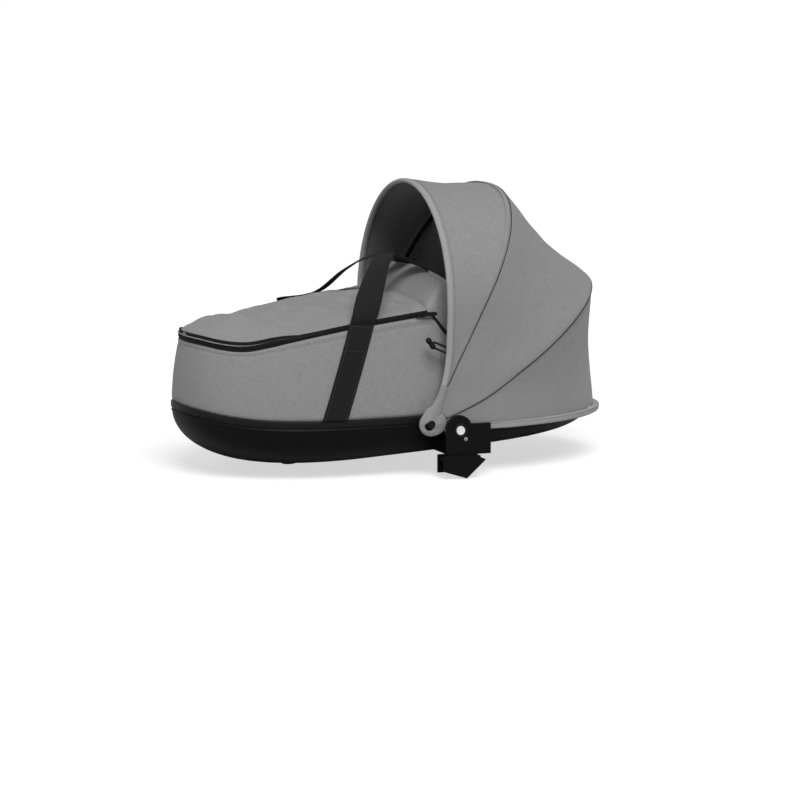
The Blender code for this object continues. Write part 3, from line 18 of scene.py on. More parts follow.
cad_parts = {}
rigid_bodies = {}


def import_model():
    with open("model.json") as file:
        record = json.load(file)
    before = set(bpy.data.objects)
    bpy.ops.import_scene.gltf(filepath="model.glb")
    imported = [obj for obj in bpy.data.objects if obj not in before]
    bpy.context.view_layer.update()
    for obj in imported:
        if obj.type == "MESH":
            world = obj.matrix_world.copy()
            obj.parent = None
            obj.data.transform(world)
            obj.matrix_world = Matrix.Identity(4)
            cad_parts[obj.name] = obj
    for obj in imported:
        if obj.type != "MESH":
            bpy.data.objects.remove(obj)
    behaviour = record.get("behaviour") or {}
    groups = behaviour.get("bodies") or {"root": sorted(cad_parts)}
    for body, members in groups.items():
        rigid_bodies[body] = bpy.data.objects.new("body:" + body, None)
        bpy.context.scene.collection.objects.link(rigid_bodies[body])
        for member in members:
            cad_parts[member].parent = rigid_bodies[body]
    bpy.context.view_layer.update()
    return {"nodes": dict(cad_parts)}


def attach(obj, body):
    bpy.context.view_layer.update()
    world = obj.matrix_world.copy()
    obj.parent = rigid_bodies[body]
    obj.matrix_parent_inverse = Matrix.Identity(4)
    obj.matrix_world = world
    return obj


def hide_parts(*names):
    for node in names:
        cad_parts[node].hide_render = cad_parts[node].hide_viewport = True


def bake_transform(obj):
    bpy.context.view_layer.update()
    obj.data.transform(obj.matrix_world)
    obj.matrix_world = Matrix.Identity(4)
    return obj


bl_info = {
    "name": "Carrycot with canopy and apron",
    "version": (1, 0, 0),
    "blender": (4, 5, 0),
    "location": "3D View > Sidebar > Carrycot",
    "description": "Builds the fabric, webbing, zips and moulded pieces of a soft-sided carrycot",
    "category": "Object",
}

for spare in list(bpy.data.objects):
    bpy.data.objects.remove(spare)
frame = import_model()

SIDES = (("right", -1), ("left", 1))

# Plan of the body at the waist and at the rim, and the heights of both lines
WAIST_OVER_SEAT = 0.070
FOOT_CENTRE_X = -0.130
HEAD_CENTRE_X = 0.040
WAIST = (0.280, 0.180, 0.271)
RIM = (0.267, 0.167, 0.258)
FOOT_SQUARENESS = 2.25
HEAD_SQUARENESS = 2.1
WAIST_FOOT_LIFT = 0.017
WAIST_LIFT_START_X = -0.220
RIM_FOOT_HEIGHT = 0.109
RIM_RISE = 0.0573
RIM_RISE_SHARES = ((0.0, 0.0), (0.08, 0.0), (0.188, 0.14), (0.384, 0.43), (0.63, 0.716), (0.776, 0.834),
                   (1.0, 1.0))
ZIP_END_X = -0.040
HEAD_RIM_HEIGHT = 0.128
TOE_LIFT = 0.0145
TOE_LIFT_START_X = -0.322
TOE_LIFT_LENGTH = 0.075
RIM_DROP_LENGTH = 0.042
BODY_MIDDLE = (-0.03, 0, 0.05)
ZIP_SHARE = (FOOT_CENTRE_X - ZIP_END_X) / (FOOT_CENTRE_X - HEAD_CENTRE_X)  # of a straight side, from the foot

# Moulded tray
BASE_DEPTH_AT_ORIGIN = 0.0634
BASE_SLOPE = 0.0563
BASE_INSETS = (0.140, 0.055, 0.058)
BASE_WALL = 0.003
BAND_HEIGHT = 0.011
BAND_PROUD = 0.0015
BAND_THICKNESS = 0.0065
BAND_ROUNDING = 0.0016
BEAD = (0.0024, 0.0022)  # width, height
BEAD_INSET = 0.0002
BEAD_BELOW_BAND = 0.0042
PAD_ROUNDING = 0.0006
GAP = 0.0003

# Fabric wall and its top edge. The relief gives height, level and width of the hoop's tunnel, of the groove
# below it and of the tuck into the band
WALL_THICKNESS = 0.005
WALL_PUFF = 0.003
WALL_RELIEF = ((0.0010, 0.965, 0.022), (-0.0007, 0.915, 0.010), (-0.0012, 0.0, 0.035))
WALL_SOFTNESS = 0.0009
LIP_RISE = 0.0012
LINING_INSET = 0.0063
LINING_THICKNESS = 0.0014
LINING_SOFTNESS = 0.0003
TRIM_HEIGHT = 0.009
TRIM_THICKNESS = 0.0024
TRIM_PROUD = 0.001
BINDING_END_SHARE = 0.42

# Zip: toe of the foot end where its pieces grow, teeth, cover band and piping
ZIP_TOE_X = -0.225
ZIP_TOE_LENGTH = 0.075
ZIP_TOE_GROWTH = 0.3
TOOTH = (0.0034, 0.00062)  # length, radius
TOOTH_PITCH = 0.0019
TOOTH_PROUD = 0.0003
COVER_BAND = (0.0022, 0.0056)  # width, height
COVER_ROUNDING = 0.0009
COVER_INSET = 0.0018
COVER_START_X = -0.215
COVER_END_SHARE = 0.3
COVER_LIFTS = (0.0010, 0.0066)  # at its ends, more at the toe
PIPING = (0.0024, 0.0016)  # width, height
PIPING_PROUD = 0.0014
PIPING_LIFT = 0.0042
PIPING_START_X = -0.295
PIPING_TIP_LENGTH = 0.06
PIPING_END_SHARE = 0.1
SLIDER_GROWTH = 1.35
SLIDER_PROUD = 0.0012
SLIDER_ROUNDING = 0.0005
PULL_ROUNDING = 0.0004
PULL_PIVOT = (-0.04925, 0.1713, 0.23520)  # over the saddles' level, on the left side

# Canopy hub, bows and cloth
HUB_X = -0.049
HUB_Z = -0.010
PIN_ROUNDING = 0.0004
PLATE_ROUNDING = 0.0008
BOW_WIDTH = 0.008
BOW_THICKNESS = 0.0035
BOW_STEP = 0.0045
FIRST_BOW_HALF_WIDTH = 0.18885
LEG_SHARE = 0.4
BOWS = {
    "front": {"root": (-0.0185, -0.017), "angle": 88.25, "reach": 0.3804, "leg": 0.178, "power": 2.0,
              "bend": 0.130, "layer": 2},
    "mid": {"root": (HUB_X, HUB_Z), "angle": 62.8, "reach": 0.4066, "leg": 0.214, "power": 2.3,
            "bend": 0.100, "layer": 0},
    "rear": {"root": (-0.0185, -0.0145), "angle": 33.6, "reach": 0.3857, "leg": 0.148, "power": 2.02,
             "bend": 0.090, "layer": 1},
}
EYE_RADII = (0.0034, 0.0105, 0.011)  # hole, face, rim
EYE_ROUNDING = 0.0004
CLOTH = 0.002
CLOTH_CLEARANCE = 0.001
CLOTH_OFF_HUB = 0.20060
HEM_TOP_Z = -0.0125
HEM_HEIGHT = 0.011
HEM_START_X = -0.024
HEM_DEPTHS = (0.0026, 0.0115)  # inwards along the sides, outwards round the head end
HEM_STITCH_DROP = 0.0022
SEWN_SHARE = 0.95  # of each bow, down from its top on both sides

# Sleeves over the bows: width, height, how far they sink in, how far they stand forward of the bow, and how
# far the seam lies behind it
SLEEVES = {
    "front": (0.0105, 0.0080, 0.0022, 0, 0),
    "mid": (0.0120, 0.0050, 0.0018, 0.0035, -0.0005),
    "rear": (0.0140, 0.0050, 0.0018, 0, 0.0045),
}
SLEEVE_INSIDE = 0.0008
SLEEVE_END_SHARE = 0.45
SEAM_SEARCH = 0.0045
# Dark cord along the sleeves' seams, painted shadow of the seam's groove
SEAM_SHADOW_CORD = (0.0013, 0.0017)  # height, width
SEAM_PROUD = 0.0003
STITCH_PROUD = 0.0004
STITCH_OFF_SEAM = 0.0024
STITCH_OFF_SLEEVE = 0.0016
MID_SEAM_DRAW = 0.0035

# Cloth boots over the hubs, their outline's bulges given as height, middle and width in degrees round it.
# The cuffs are what the front bow stands in.
BOOT_REACH = 0.0192
BOOT_BULGES = ((0.0095, 5, 55), (0.0070, 70, 20), (0.0060, 95, 25))
BOOT_FACE = 0.2020
BOOT_BACK = 0.2018
BOOT_MOUTH_OFFSET = (-0.0040, -0.0042)
BOOT_MOUTH = 0.0076
BOOT_DOME = (0.0014, 0.0046, 0.021)  # height at the edge, more over the hub, how wide that is
BOOT_FREE_LIFT = 0.0010
BOOT_LIP = 0.0018
BOOT_FOLD = 0.0005
CUFF_SHARES = (0.012, 0.150)  # of half the bow, from the hub up
CUFF_SINK = 0.0016
CUFF_HEIGHTS = (0.0094, 0.0010)  # at the hub, less at its top
CUFF_WIDTHS = (0.0120, 0.0150)  # at its top, more at the hub

# Apron and wind flap
APRON_THICKNESS = 0.0045
APRON_LIFT = 0.0011
APRON_STITCH_X = -0.0655
# height, direction along and across, wavelength and phase of each broad fold
APRON_FOLDS = ((0.0030, 1.0, 1 / 3, 0.120, 0.0), (0.0022, 0.6, -0.9, 0.085, 1.0),
               (0.0012, 1.0, 0.5, 0.041, 2.2))
APRON_INSET = 0.0017
APRON_TIP_HALF_WIDTH = 0.0012
APRON_SEAM = (0.0011, -0.062, 0.0016)  # depth, place, width
APRON_EDGE_ROLL = 0.0016
APRON_EDGE_SHARE = 0.55
# The valley beside the near zip, and the ridge next to it with its height, offset and width
VALLEY_DEPTHS = (0.0036, 0.0040)  # all along, more at its deepest
VALLEY_DEEPEST = (-0.250, 0.030)  # place, width
VALLEY_WIDTH = 0.013
VALLEY_SHOWN_X = (-0.352, -0.190)
VALLEY_FADE = 0.03
VALLEY_TURNS_X = (-0.34, -0.272)
VALLEY_TURN_LENGTH = 0.07
VALLEY_STEPS = (0.1, 0.3, 0.7)  # share of the half width at the toe, then less after each turn
RIDGE = (0.0026, -0.026, 0.018)
TOE_BULGE = (0.022, -0.335, 0.055)  # height, place, width
# The crease's depth and width, where it crosses the middle, and how far it slants
CREASE = (0.0016, 0.004, -0.1125, 0.156)
FLAP_THICKNESS = 0.0026
FLAP_TOP_X = 0.004
FLAP_TOP_CORNER_Z = 0.2125
FLAP_TOP_CROWN = 0.011
FLAP_TOP_HALF_WIDTH = 0.146
FLAP_FOOT_HALF_WIDTH = 0.159
FLAP_FOOT_CROWN = 0.012
FLAP_REACH = 0.128
FLAP_WING_END_X = 0.006
FLAP_CURL = 0.004
FLAP_EDGE = (0.0046, 0.0040)  # width, height
FLAP_EDGE_DROP = 0.0008
FLAP_STITCH_DROP = 0.0062
FLAP_STITCH_PROUD = 0.0014

# Webbing
STRAP_WIDTH = 0.040
STRAP_THICKNESS = 0.0016
STRAP_STANDOFF = 0.0013
STRAP_CUP = 0.0012
STRAP_STITCH = (0.0030, 0.0024, 0.0005)  # pitch, length, radius
STRAP_FEET = (("foot", -0.204, -0.154), ("head", 0.090, 0.072))  # x at the band and at the rim
STRAP_PATHS = {
    "right": ((-0.1289, 0.148, 0.2076), (-0.0926, 0.090, 0.2388), (-0.0511, 0.035, 0.2488),
              (0.000, 0.042, 0.2275), (0.034, 0.092, 0.1970), (0.060, 0.138, 0.1720)),
    "left": ((-0.1150, 0.130, 0.1725), (-0.0833, 0.090, 0.2110), (-0.0555, 0.055, 0.2350),
             (-0.0349, 0.030, 0.2420), (0.000, 0.042, 0.2275), (0.034, 0.092, 0.1970),
             (0.060, 0.138, 0.1720)),
}
STRAP_LEANS = (0.34, -0.14)
STRAP_RISES = {"right": 0.017, "left": 0.005}
STRAP_TWISTS = {
    "right": ((0, 0.04, 0.145, 0.23, 0.31, 0.40, 0.465, 0.59, 0.74, 0.87, 1),
              (0, 4, 42, 72, 86, 96, 104, 112, 120, 145, 180)),
    "left": ((0, 0.03, 0.08, 0.20, 0.31, 0.465, 0.60, 0.74, 0.87, 1),
             (0, 22, 48, 53, 56, 76, 98, 112, 145, 180)),
}

# Foam mattress: inset from the tray's foot, heights over the tray's underside, and its sewn channels
MATTRESS_INSET = 0.007
MATTRESS_MIDDLE = 0.0248
MATTRESS_UNDER = 0.0175
MATTRESS_BOTTOM = 0.0068
MATTRESS_TOP = 0.0270
MATTRESS_CROWN = 0.0080
CHANNEL_DEPTH = 0.0060
CHANNEL_PITCH = 0.105
CHANNEL_WIDTH = 0.035  # as a share of the pitch
SIDE_SEAM = (0.045, 0.16)  # how far it draws the sides in, as a share, and its width

# Adaptors and small fittings, as places in x and z, with radii and distances off the middle plane
ADAPTOR_SHELLS = (("dock_shell", "dock", 0.0008), ("adaptor_ear_shell", "adaptor_ear", 0.0009),
                  ("adaptor_saddle", "adaptor_shoe", 0.0012))  # name, solid, rounding
EAR_FACE = 0.2198
BUTTON = (-0.0029, -0.0205)
BUTTON_PROUD = 0.0010
BUTTON_DEPTH = 0.0033
BUTTON_OUTLINE = ((0.0004, -0.0005), (0.0040, -0.0004), (0.0058, -0.0001), (0.0066, 0.0), (0.0072, -0.0004),
                  (0.0074, -0.0010))
BUTTON_FLANGE = ((0.0074, 0.0012), (0.0088, 0.0012), (0.0088, 0.0), (0.0004, 0.0))
COLLAR_OUTLINE = ((0.0094, -0.0004), (0.0094, 0.0006), (0.0102, 0.0011), (0.0112, 0.0010), (0.0120, -0.0002))
LAMP = (0.0062, -0.0350)
LAMP_PROUD = 0.0006
LAMP_OUTLINE = ((0.0003, 0.0), (0.0018, -0.0001), (0.0028, -0.0004), (0.0034, -0.0009), (0.0034, -0.0018),
                (0.0003, -0.0018))
TOGGLE = (-0.046, 0.1965, 0.1205)
TOGGLE_TILT = 37
TOGGLE_DROP = 24
TOGGLE_BAR = (0.0112, 0.0048, 0.0012)  # half length, radius, waist
TOGGLE_CORD = (0.0030, 0.0036)  # width, height
TOGGLE_LOOP = (0.0068, 0.0043)  # place ahead of the bar's middle, radius
TOGGLE_STRANDS = (0.031, 0.027)  # length of the upper and lower strand past the loop

# Stage
FLOOR_HEIGHT = -0.0290
FLOOR_LIFT = 0.62
MIRRORED_SHARE = 0.35
WORLD_LEVEL = 0.18
LAMPS = (("key", (-0.25, -1.60, 2.00), 35), ("fill", (-2.0, -0.3, 1.0), 50))
CAMERA_TURN = -22.0
CAMERA_RISE = 8.5
CAMERA_AIM_X = -0.020


def linear(hex_colour):
    """An sRGB hex colour as linear red, green and blue."""
    share = np.array([int(hex_colour[k:k + 2], 16) for k in (1, 3, 5)]) / 255
    return tuple(np.where(share <= 0.04045, share / 12.92, ((share + 0.055) / 1.055) ** 2.4))


class CarrycotFinish(bpy.types.PropertyGroup):
    """Colours of the cloths, plastics and trims."""

    shell_cloth: FloatVectorProperty(
        name="Shell cloth", description="Melange cloth of wall, apron and canopy", subtype="COLOR", size=3,
        min=0, max=1, default=linear("#919192"))
    # The lining is drawn lighter than its dark cloth: painted light inside the canopy and the body
    lining_cloth: FloatVectorProperty(
        name="Lining", description="Cloth inside the canopy and the body", subtype="COLOR", size=3,
        min=0, max=1, default=linear("#898989"))
    mattress_cloth: FloatVectorProperty(
        name="Mattress cover", description="Knitted cover of the foam mattress", subtype="COLOR", size=3,
        min=0, max=1, default=linear("#cfcfcc"))
    moulding: FloatVectorProperty(
        name="Moulded plastic", description="Tray, band and adaptors", subtype="COLOR", size=3,
        min=0, max=1, default=linear("#0d0d0e"))
    webbing: FloatVectorProperty(
        name="Webbing", description="Handles, zip tape and bindings", subtype="COLOR", size=3,
        min=0, max=1, default=linear("#1b1b1c"))


class CarrycotSizes(bpy.types.PropertyGroup):
    """Sizes of the sewing and of the soft forms."""

    thread_spacing: FloatProperty(
        name="Thread spacing", description="Distance between the threads of the shell cloth", unit="LENGTH",
        default=0.0011, min=0.0003, max=0.004, precision=5)
    stitch_pitch: FloatProperty(
        name="Stitch pitch", description="Distance from one stitch to the next", unit="LENGTH",
        default=0.0036, min=0.002, max=0.01, precision=5)
    apron_crown: FloatProperty(
        name="Apron crown", description="Rise of the apron over its zip", unit="LENGTH",
        default=0.0145, min=0.0, max=0.03, precision=4)
    sag_visor: FloatProperty(
        name="Visor sag", description="Depth of the cloth between front and middle bow", unit="LENGTH",
        default=0.005, min=0.0, max=0.03, precision=4)
    sag_top: FloatProperty(
        name="Top sag", description="Depth of the cloth between middle and rear bow", unit="LENGTH",
        default=0.013, min=0.0, max=0.03, precision=4)
    sag_rear: FloatProperty(
        name="Rear sag", description="Depth of the cloth between rear bow and hem", unit="LENGTH",
        default=0.0085, min=0.0, max=0.03, precision=4)
    fineness: IntProperty(
        name="Fineness", description="Stations along a quarter of the body's outline", default=84, min=24,
        max=160)


class CarrycotStage(bpy.types.PropertyGroup):
    """Camera, lamps and floor."""

    distance: FloatProperty(
        name="Camera distance", description="From the camera to the middle of the body", unit="LENGTH",
        default=6.645, min=1, max=30)
    lens: FloatProperty(
        name="Lens", description="Focal length in millimetres", unit="CAMERA", default=180.0, min=20, max=400)
    key_power: FloatProperty(
        name="Key lamp", description="Strength of the soft key lamp", default=2.45, min=0)
    fill_power: FloatProperty(
        name="Fill lamp", description="Strength of the soft fill lamp", default=0.30, min=0)
    floor_colour: FloatVectorProperty(
        name="Floor", description="Colour of the floor", subtype="COLOR", size=3, min=0, max=1,
        default=linear("#bfbfbf"))


# Numbers to shapes


def smooth(t):
    """Rise from 0 to 1 with level ends: 3t^2 - 2t^3."""
    t = np.clip(t, 0, 1)
    return t * t * (3 - 2 * t)


def bell(x, middle, width):
    """A bump of height 1: exp(-((x - middle) / width)^2)."""
    return np.exp(-((x - middle) / width) ** 2)


def full_turn(steps):
    """Angles of a full turn at even steps."""
    return np.arange(steps) * 2 * math.pi / steps


def quarter(turn, reach, half_width, squareness):
    """Superellipse quarter: reach*sin^(2/s) outwards and half_width*cos^(2/s) across."""
    power = 2 / squareness
    return reach * np.abs(np.sin(turn)) ** power, half_width * np.abs(np.cos(turn)) ** power


def plan(u, size):
    """Plan outline at u: 0-1 round the head end, 1-2 along the left side, 2-3 round the foot, 3-4 back again.

    The ends are superellipse halves of the given reaches, the sides straight lines between their centres."""
    foot, half, head = size
    u = np.asarray(u, float) % 4
    share = u % 1
    turn = math.pi * share
    sign = np.where(turn < math.pi / 2, 1, -1)
    head_out, head_across = quarter(turn, head, half, HEAD_SQUARENESS)
    foot_out, foot_across = quarter(turn, foot, half, FOOT_SQUARENESS)
    run = FOOT_CENTRE_X - HEAD_CENTRE_X
    part = np.floor(u)
    where = [part == 0, part == 1, part == 2, part == 3]
    x = np.select(where, [HEAD_CENTRE_X + head_out, HEAD_CENTRE_X + run * share, FOOT_CENTRE_X - foot_out,
                          FOOT_CENTRE_X - run * share])
    y = np.select(where, [-sign * head_across, half + 0 * u, sign * foot_across, -half + 0 * u])
    return x, y


def grown(size, offset):
    """A plan size with every reach moved out by the same offset, which may be an array."""
    return tuple(reach + offset for reach in size)


def around(fineness):
    """Stations u round the whole body."""
    return np.arange(4 * fineness) / fineness


def waist_height(x):
    """Height of the line where wall and tray meet: a cubic lift towards the foot end."""
    run = WAIST[0] + WAIST_LIFT_START_X - FOOT_CENTRE_X
    return WAIST_FOOT_LIFT * (np.maximum(0, WAIST_LIFT_START_X - x) / run) ** 3


def rim_height(x):
    """Height of the wall's top edge: a cubic spline through the rise shares, then a drop into the canopy."""
    xs, ys = np.array(RIM_RISE_SHARES).T
    slope = np.empty_like(ys)
    slope[1:-1] = (ys[2:] - ys[:-2]) / (xs[2:] - xs[:-2])
    slope[0], slope[-1] = (ys[1] - ys[0]) / (xs[1] - xs[0]), (ys[-1] - ys[-2]) / (xs[-1] - xs[-2])
    start = FOOT_CENTRE_X - RIM[0]
    place = np.clip((np.asarray(x, float) - start) / (ZIP_END_X - start), 0, 1)
    k = np.clip(np.searchsorted(xs, place) - 1, 0, len(xs) - 2)
    span = xs[k + 1] - xs[k]
    t = (place - xs[k]) / span
    share = (ys[k] * (2 * t**3 - 3 * t**2 + 1) + slope[k] * span * (t**3 - 2 * t**2 + t)
             + ys[k + 1] * (3 * t**2 - 2 * t**3) + slope[k + 1] * span * (t**3 - t**2))
    rise = RIM_FOOT_HEIGHT + RIM_RISE * share
    rise = rise + TOE_LIFT * smooth((TOE_LIFT_START_X - x) / TOE_LIFT_LENGTH)
    return rise + (HEAD_RIM_HEIGHT - rise) * smooth((x - ZIP_END_X) / RIM_DROP_LENGTH)


def underside(x):
    """Height of the tray's flat underside, which slopes up towards the head end."""
    return -BASE_DEPTH_AT_ORIGIN + BASE_SLOPE * x


def wall_point(u, level, offset=0.0):
    """The fabric wall from the waist (level 0) to the rim (1), as x, y, z.

    Plan sizes run straight from waist to rim, plus a puff of 4*level*(1-level)."""
    puff = WALL_PUFF * 4 * level * (1 - level)
    low = plan(u, grown(WAIST, offset))
    high = plan(u, grown(RIM, offset))
    puffed = plan(u, (WAIST[0] + puff, WAIST[1] + puff, WAIST[2] + 0 * puff))
    plain = plan(u, WAIST)
    rim_x = plan(u, RIM)[0]
    x = low[0] + (high[0] - low[0]) * level + puffed[0] - plain[0]
    y = low[1] + (high[1] - low[1]) * level + puffed[1] - plain[1]
    bottom = waist_height(plain[0]) + GAP
    top = rim_height(rim_x) - TRIM_HEIGHT / 2
    return np.stack(np.broadcast_arrays(x, y, bottom + (top - bottom) * level), -1)


def ripples(points, wavelength, seed, stretch=(1, 1, 1)):
    """Soft unevenness from -1 to 1: the mean of nine sine waves in fixed directions, around a wavelength."""
    source = np.random.default_rng(seed)
    directions = source.normal(size=(9, 3))
    directions /= np.linalg.norm(directions, axis=1)[:, None]
    phases = source.uniform(0, 2 * math.pi, 9)
    lengths = wavelength * source.uniform(0.7, 1.6, 9)
    waves = (points * np.array(stretch)) @ (directions * (2 * math.pi / lengths)[:, None]).T + phases
    return np.sin(waves).mean(-1) * 2.2


def unit(vectors):
    """Vectors at length 1."""
    return vectors / np.maximum(np.linalg.norm(vectors, axis=-1, keepdims=True), 1e-12)


def slopes(points, closed):
    """Direction along the first axis of a grid of points."""
    if closed:
        return np.roll(points, -1, 0) - np.roll(points, 1, 0)
    return np.gradient(points, axis=0)


def sheet_normals(middle, closed):
    """Normals of a grid: the cross product of its two directions."""
    return unit(np.cross(slopes(middle, closed), np.gradient(middle, axis=1)))


def skins(middle, thickness, closed=False, turns=5):
    """Sections of a cloth over a grid: outer skin, a half round edge, inner skin, a half round edge."""
    normal = sheet_normals(middle, closed)
    half = np.broadcast_to(np.asarray(thickness, float) / 2, middle.shape[:2])[..., None]
    outer, inner = middle + normal * half, middle - normal * half
    edges = []
    for last, before in ((-1, -2), (0, 1)):
        out = unit(middle[:, last] - middle[:, before])
        turn = np.linspace(0, math.pi, turns + 2)[1:-1][None, :, None]
        if last == 0:
            turn = math.pi - turn
        arc = (middle[:, last, None] + half[:, last, None] * (normal[:, last, None] * np.cos(turn)
                                                               + out[:, None] * np.sin(turn)))
        edges.append(arc)
    return np.concatenate([outer, edges[0], inner[:, ::-1], edges[1]], 1)


def catmull(keys, steps):
    """A smooth line through key points, as Catmull-Rom cubics of some steps each."""
    keys = np.asarray(keys, float)
    padded = np.concatenate([keys[:1], keys, keys[-1:]])
    t = (np.arange(steps) / steps)[None, :, None]
    a, b, c, d = (padded[k:len(padded) - 3 + k, None] for k in range(4))
    points = (2 * b + (c - a) * t + (2 * a - 5 * b + 4 * c - d) * t**2 + (3 * b - a - 3 * c + d) * t**3) / 2
    return np.concatenate([points.reshape(-1, keys.shape[1]), keys[-1:]])


def resampled(path, pitch):
    """Points at an even pitch along a line."""
    path = np.asarray(path, float)
    length = np.concatenate([[0], np.cumsum(np.linalg.norm(np.diff(path, axis=0), axis=1))])
    places = np.linspace(0, length[-1], max(2, int(round(length[-1] / pitch)) + 1))
    return np.stack([np.interp(places, length, path[:, k]) for k in range(path.shape[1])], 1)


def rounded_profile(width, height, radius, steps=4):
    """Outline of a box with rounded corners about its own middle."""
    turn = np.linspace(0, math.pi / 2, steps + 1)
    corners = []
    for k, (a, b) in enumerate(((1, 1), (-1, 1), (-1, -1), (1, -1))):
        angle = turn + k * math.pi / 2
        corners.append(np.stack([a * (width / 2 - radius) + radius * np.cos(angle),
                                 b * (height / 2 - radius) + radius * np.sin(angle)], 1))
    return np.concatenate(corners)


def oval_profile(width, height, steps=20, squareness=2.4):
    """Outline of a superellipse about its own middle."""
    turn = np.linspace(0, 2 * math.pi, steps, endpoint=False)
    power = 2 / squareness
    return np.stack([width / 2 * np.sign(np.cos(turn)) * np.abs(np.cos(turn)) ** power,
                     height / 2 * np.sign(np.sin(turn)) * np.abs(np.sin(turn)) ** power], 1)


def drawn_in(sections, share):
    """Sections drawn in about their own middles to some share of their size."""
    middle = sections.mean(1, keepdims=True)
    return middle + (sections - middle) * np.reshape(share, (-1, 1, 1))


def turned(outline, centre, side, steps=48):
    """An outline of radii and distances off the middle plane, turned about Y, one section per angle."""
    turn = full_turn(steps)[:, None]
    radius, out = np.asarray(outline, float).T[:, None]
    return np.stack([centre[0] + radius * np.cos(turn), np.broadcast_to(side * out, (steps, len(outline))),
                     centre[1] + radius * np.sin(turn)], -1)


def carried(path, across, profile):
    """Sections of a profile carried along a line: first number along 'across', second square to both."""
    along = unit(np.gradient(path, axis=0))
    across = unit(across - along * (across * along).sum(-1, keepdims=True))
    out = np.cross(along, across)
    a, b = profile[:, 0][None, :, None], profile[:, 1][None, :, None]
    return path[:, None] + across[:, None] * a + out[:, None] * b


def ring_sections(u, size, profile, height):
    """Sections of a profile (offset outwards, lift) carried round the body over a height at each place."""
    base = height(plan(u, size)[0])
    x, y = plan(u[:, None], grown(size, profile[None, :, 0]))
    return np.stack([x, y, base[:, None] + profile[None, :, 1]], -1)


def tape_profile(rounding):
    """Section of a tape that lies over the wall's top edge."""
    return rounded_profile(TRIM_THICKNESS, TRIM_HEIGHT, rounding) + (TRIM_PROUD - TRIM_THICKNESS / 2, 0)


# Meshes


def new_piece(name, points, faces, uv, materials, slots=None, lift=WAIST_OVER_SEAT):
    """A smooth shaded mesh object at the origin, its faces turned outwards by the sign of its volume."""
    points = np.array(points, float) + (0, 0, lift)
    volume = 0.0
    for count in sorted({face.shape[1] for face in faces}):
        same = np.concatenate([face for face in faces if face.shape[1] == count])
        for k in range(1, count - 1):
            a, b, c = points[same[:, 0]], points[same[:, k]], points[same[:, k + 1]]
            volume += float((a * np.cross(b, c)).sum())
    if volume < 0:
        faces = [face[:, ::-1] for face in faces]
        uv = [part[:, ::-1] for part in uv]
    mesh = bpy.data.meshes.new(name)
    mesh.from_pydata(points.tolist(), [], [row for face in faces for row in face.tolist()])
    layer = mesh.uv_layers.new(name="UVMap")
    layer.data.foreach_set("uv", np.concatenate([part.reshape(-1) for part in uv]).astype(np.float32))
    for material in materials:
        mesh.materials.append(material)
    if slots is not None:
        mesh.polygons.foreach_set("material_index", np.concatenate(slots).astype(np.int32))
    mesh.shade_smooth()
    mesh.update()
    made = bpy.data.objects.new(name, mesh)
    bpy.context.scene.collection.objects.link(made)
    return made


def swept(name, sections, materials, closed=False, caps="fan", columns=None, lift=WAIST_OVER_SEAT):
    """A closed skin through like-numbered points of successive sections, its UVs in metres along and around.

    Caps are one face at each end (fan), quads between two skins (skins), or none where the line is closed."""
    sections = np.asarray(sections, float)
    rows, count = sections.shape[:2]
    i, k = np.meshgrid(np.arange(rows if closed else rows - 1), np.arange(count), indexing="ij")
    j, n = (i + 1) % rows, (k + 1) % count
    faces = [np.stack([i * count + k, i * count + n, j * count + n, j * count + k], -1).reshape(-1, 4)]
    middle = sections.mean(1)
    step = np.linalg.norm(np.roll(middle, -1, 0) - middle, axis=1)
    along = np.concatenate([[0], np.cumsum(step)])
    loop = np.linalg.norm(np.roll(sections, -1, 1) - sections, axis=2).mean(0)
    about = np.concatenate([[0], np.cumsum(loop)])
    corners = [(along[i], about[k]), (along[i], about[k + 1]), (along[i + 1], about[k + 1]),
               (along[i + 1], about[k])]
    uv = [np.stack([np.stack(pair, -1) for pair in corners], -2).reshape(-1, 4, 2)]
    slots = None
    if columns is not None:
        slots = [np.asarray(columns)[k].reshape(-1)]
    if not closed:
        for row in (0, rows - 1):
            first = np.arange(count) + row * count
            flat = np.stack([np.full(count, along[row]), about[:-1]], -1)
            if caps == "fan":
                cap, flats = first[None, :], flat[None]
            else:
                q = np.arange(count // 2 - 1)
                pick = np.stack([q, q + 1, count - 2 - q, count - 1 - q], -1)
                cap, flats = first[pick], flat[pick]
            if row == 0:
                cap, flats = cap[:, ::-1], flats[:, ::-1]
            faces.append(cap)
            uv.append(flats)
            if slots is not None:
                slots.append(np.zeros(len(cap), int))
    return new_piece(name, sections.reshape(-1, 3), faces, uv, materials, slots, lift)


def many(name, places, along, out, shape, joints, materials):
    """One mesh of a small shape set down at many places, turned to each place's direction and normal."""
    along = unit(along)
    out = unit(out - along * (out * along).sum(-1, keepdims=True))
    side = np.cross(out, along)
    points = (places[:, None] + along[:, None] * shape[None, :, 0:1] + side[:, None] * shape[None, :, 1:2]
              + out[:, None] * shape[None, :, 2:3])
    step = (np.arange(len(places)) * len(shape))[:, None, None]
    faces = (np.asarray(joints)[None] + step).reshape(-1, 4)
    uv = np.tile(shape[np.asarray(joints)][..., :2], (len(places), 1, 1))
    return new_piece(name, points.reshape(-1, 3), [faces], [uv], materials)


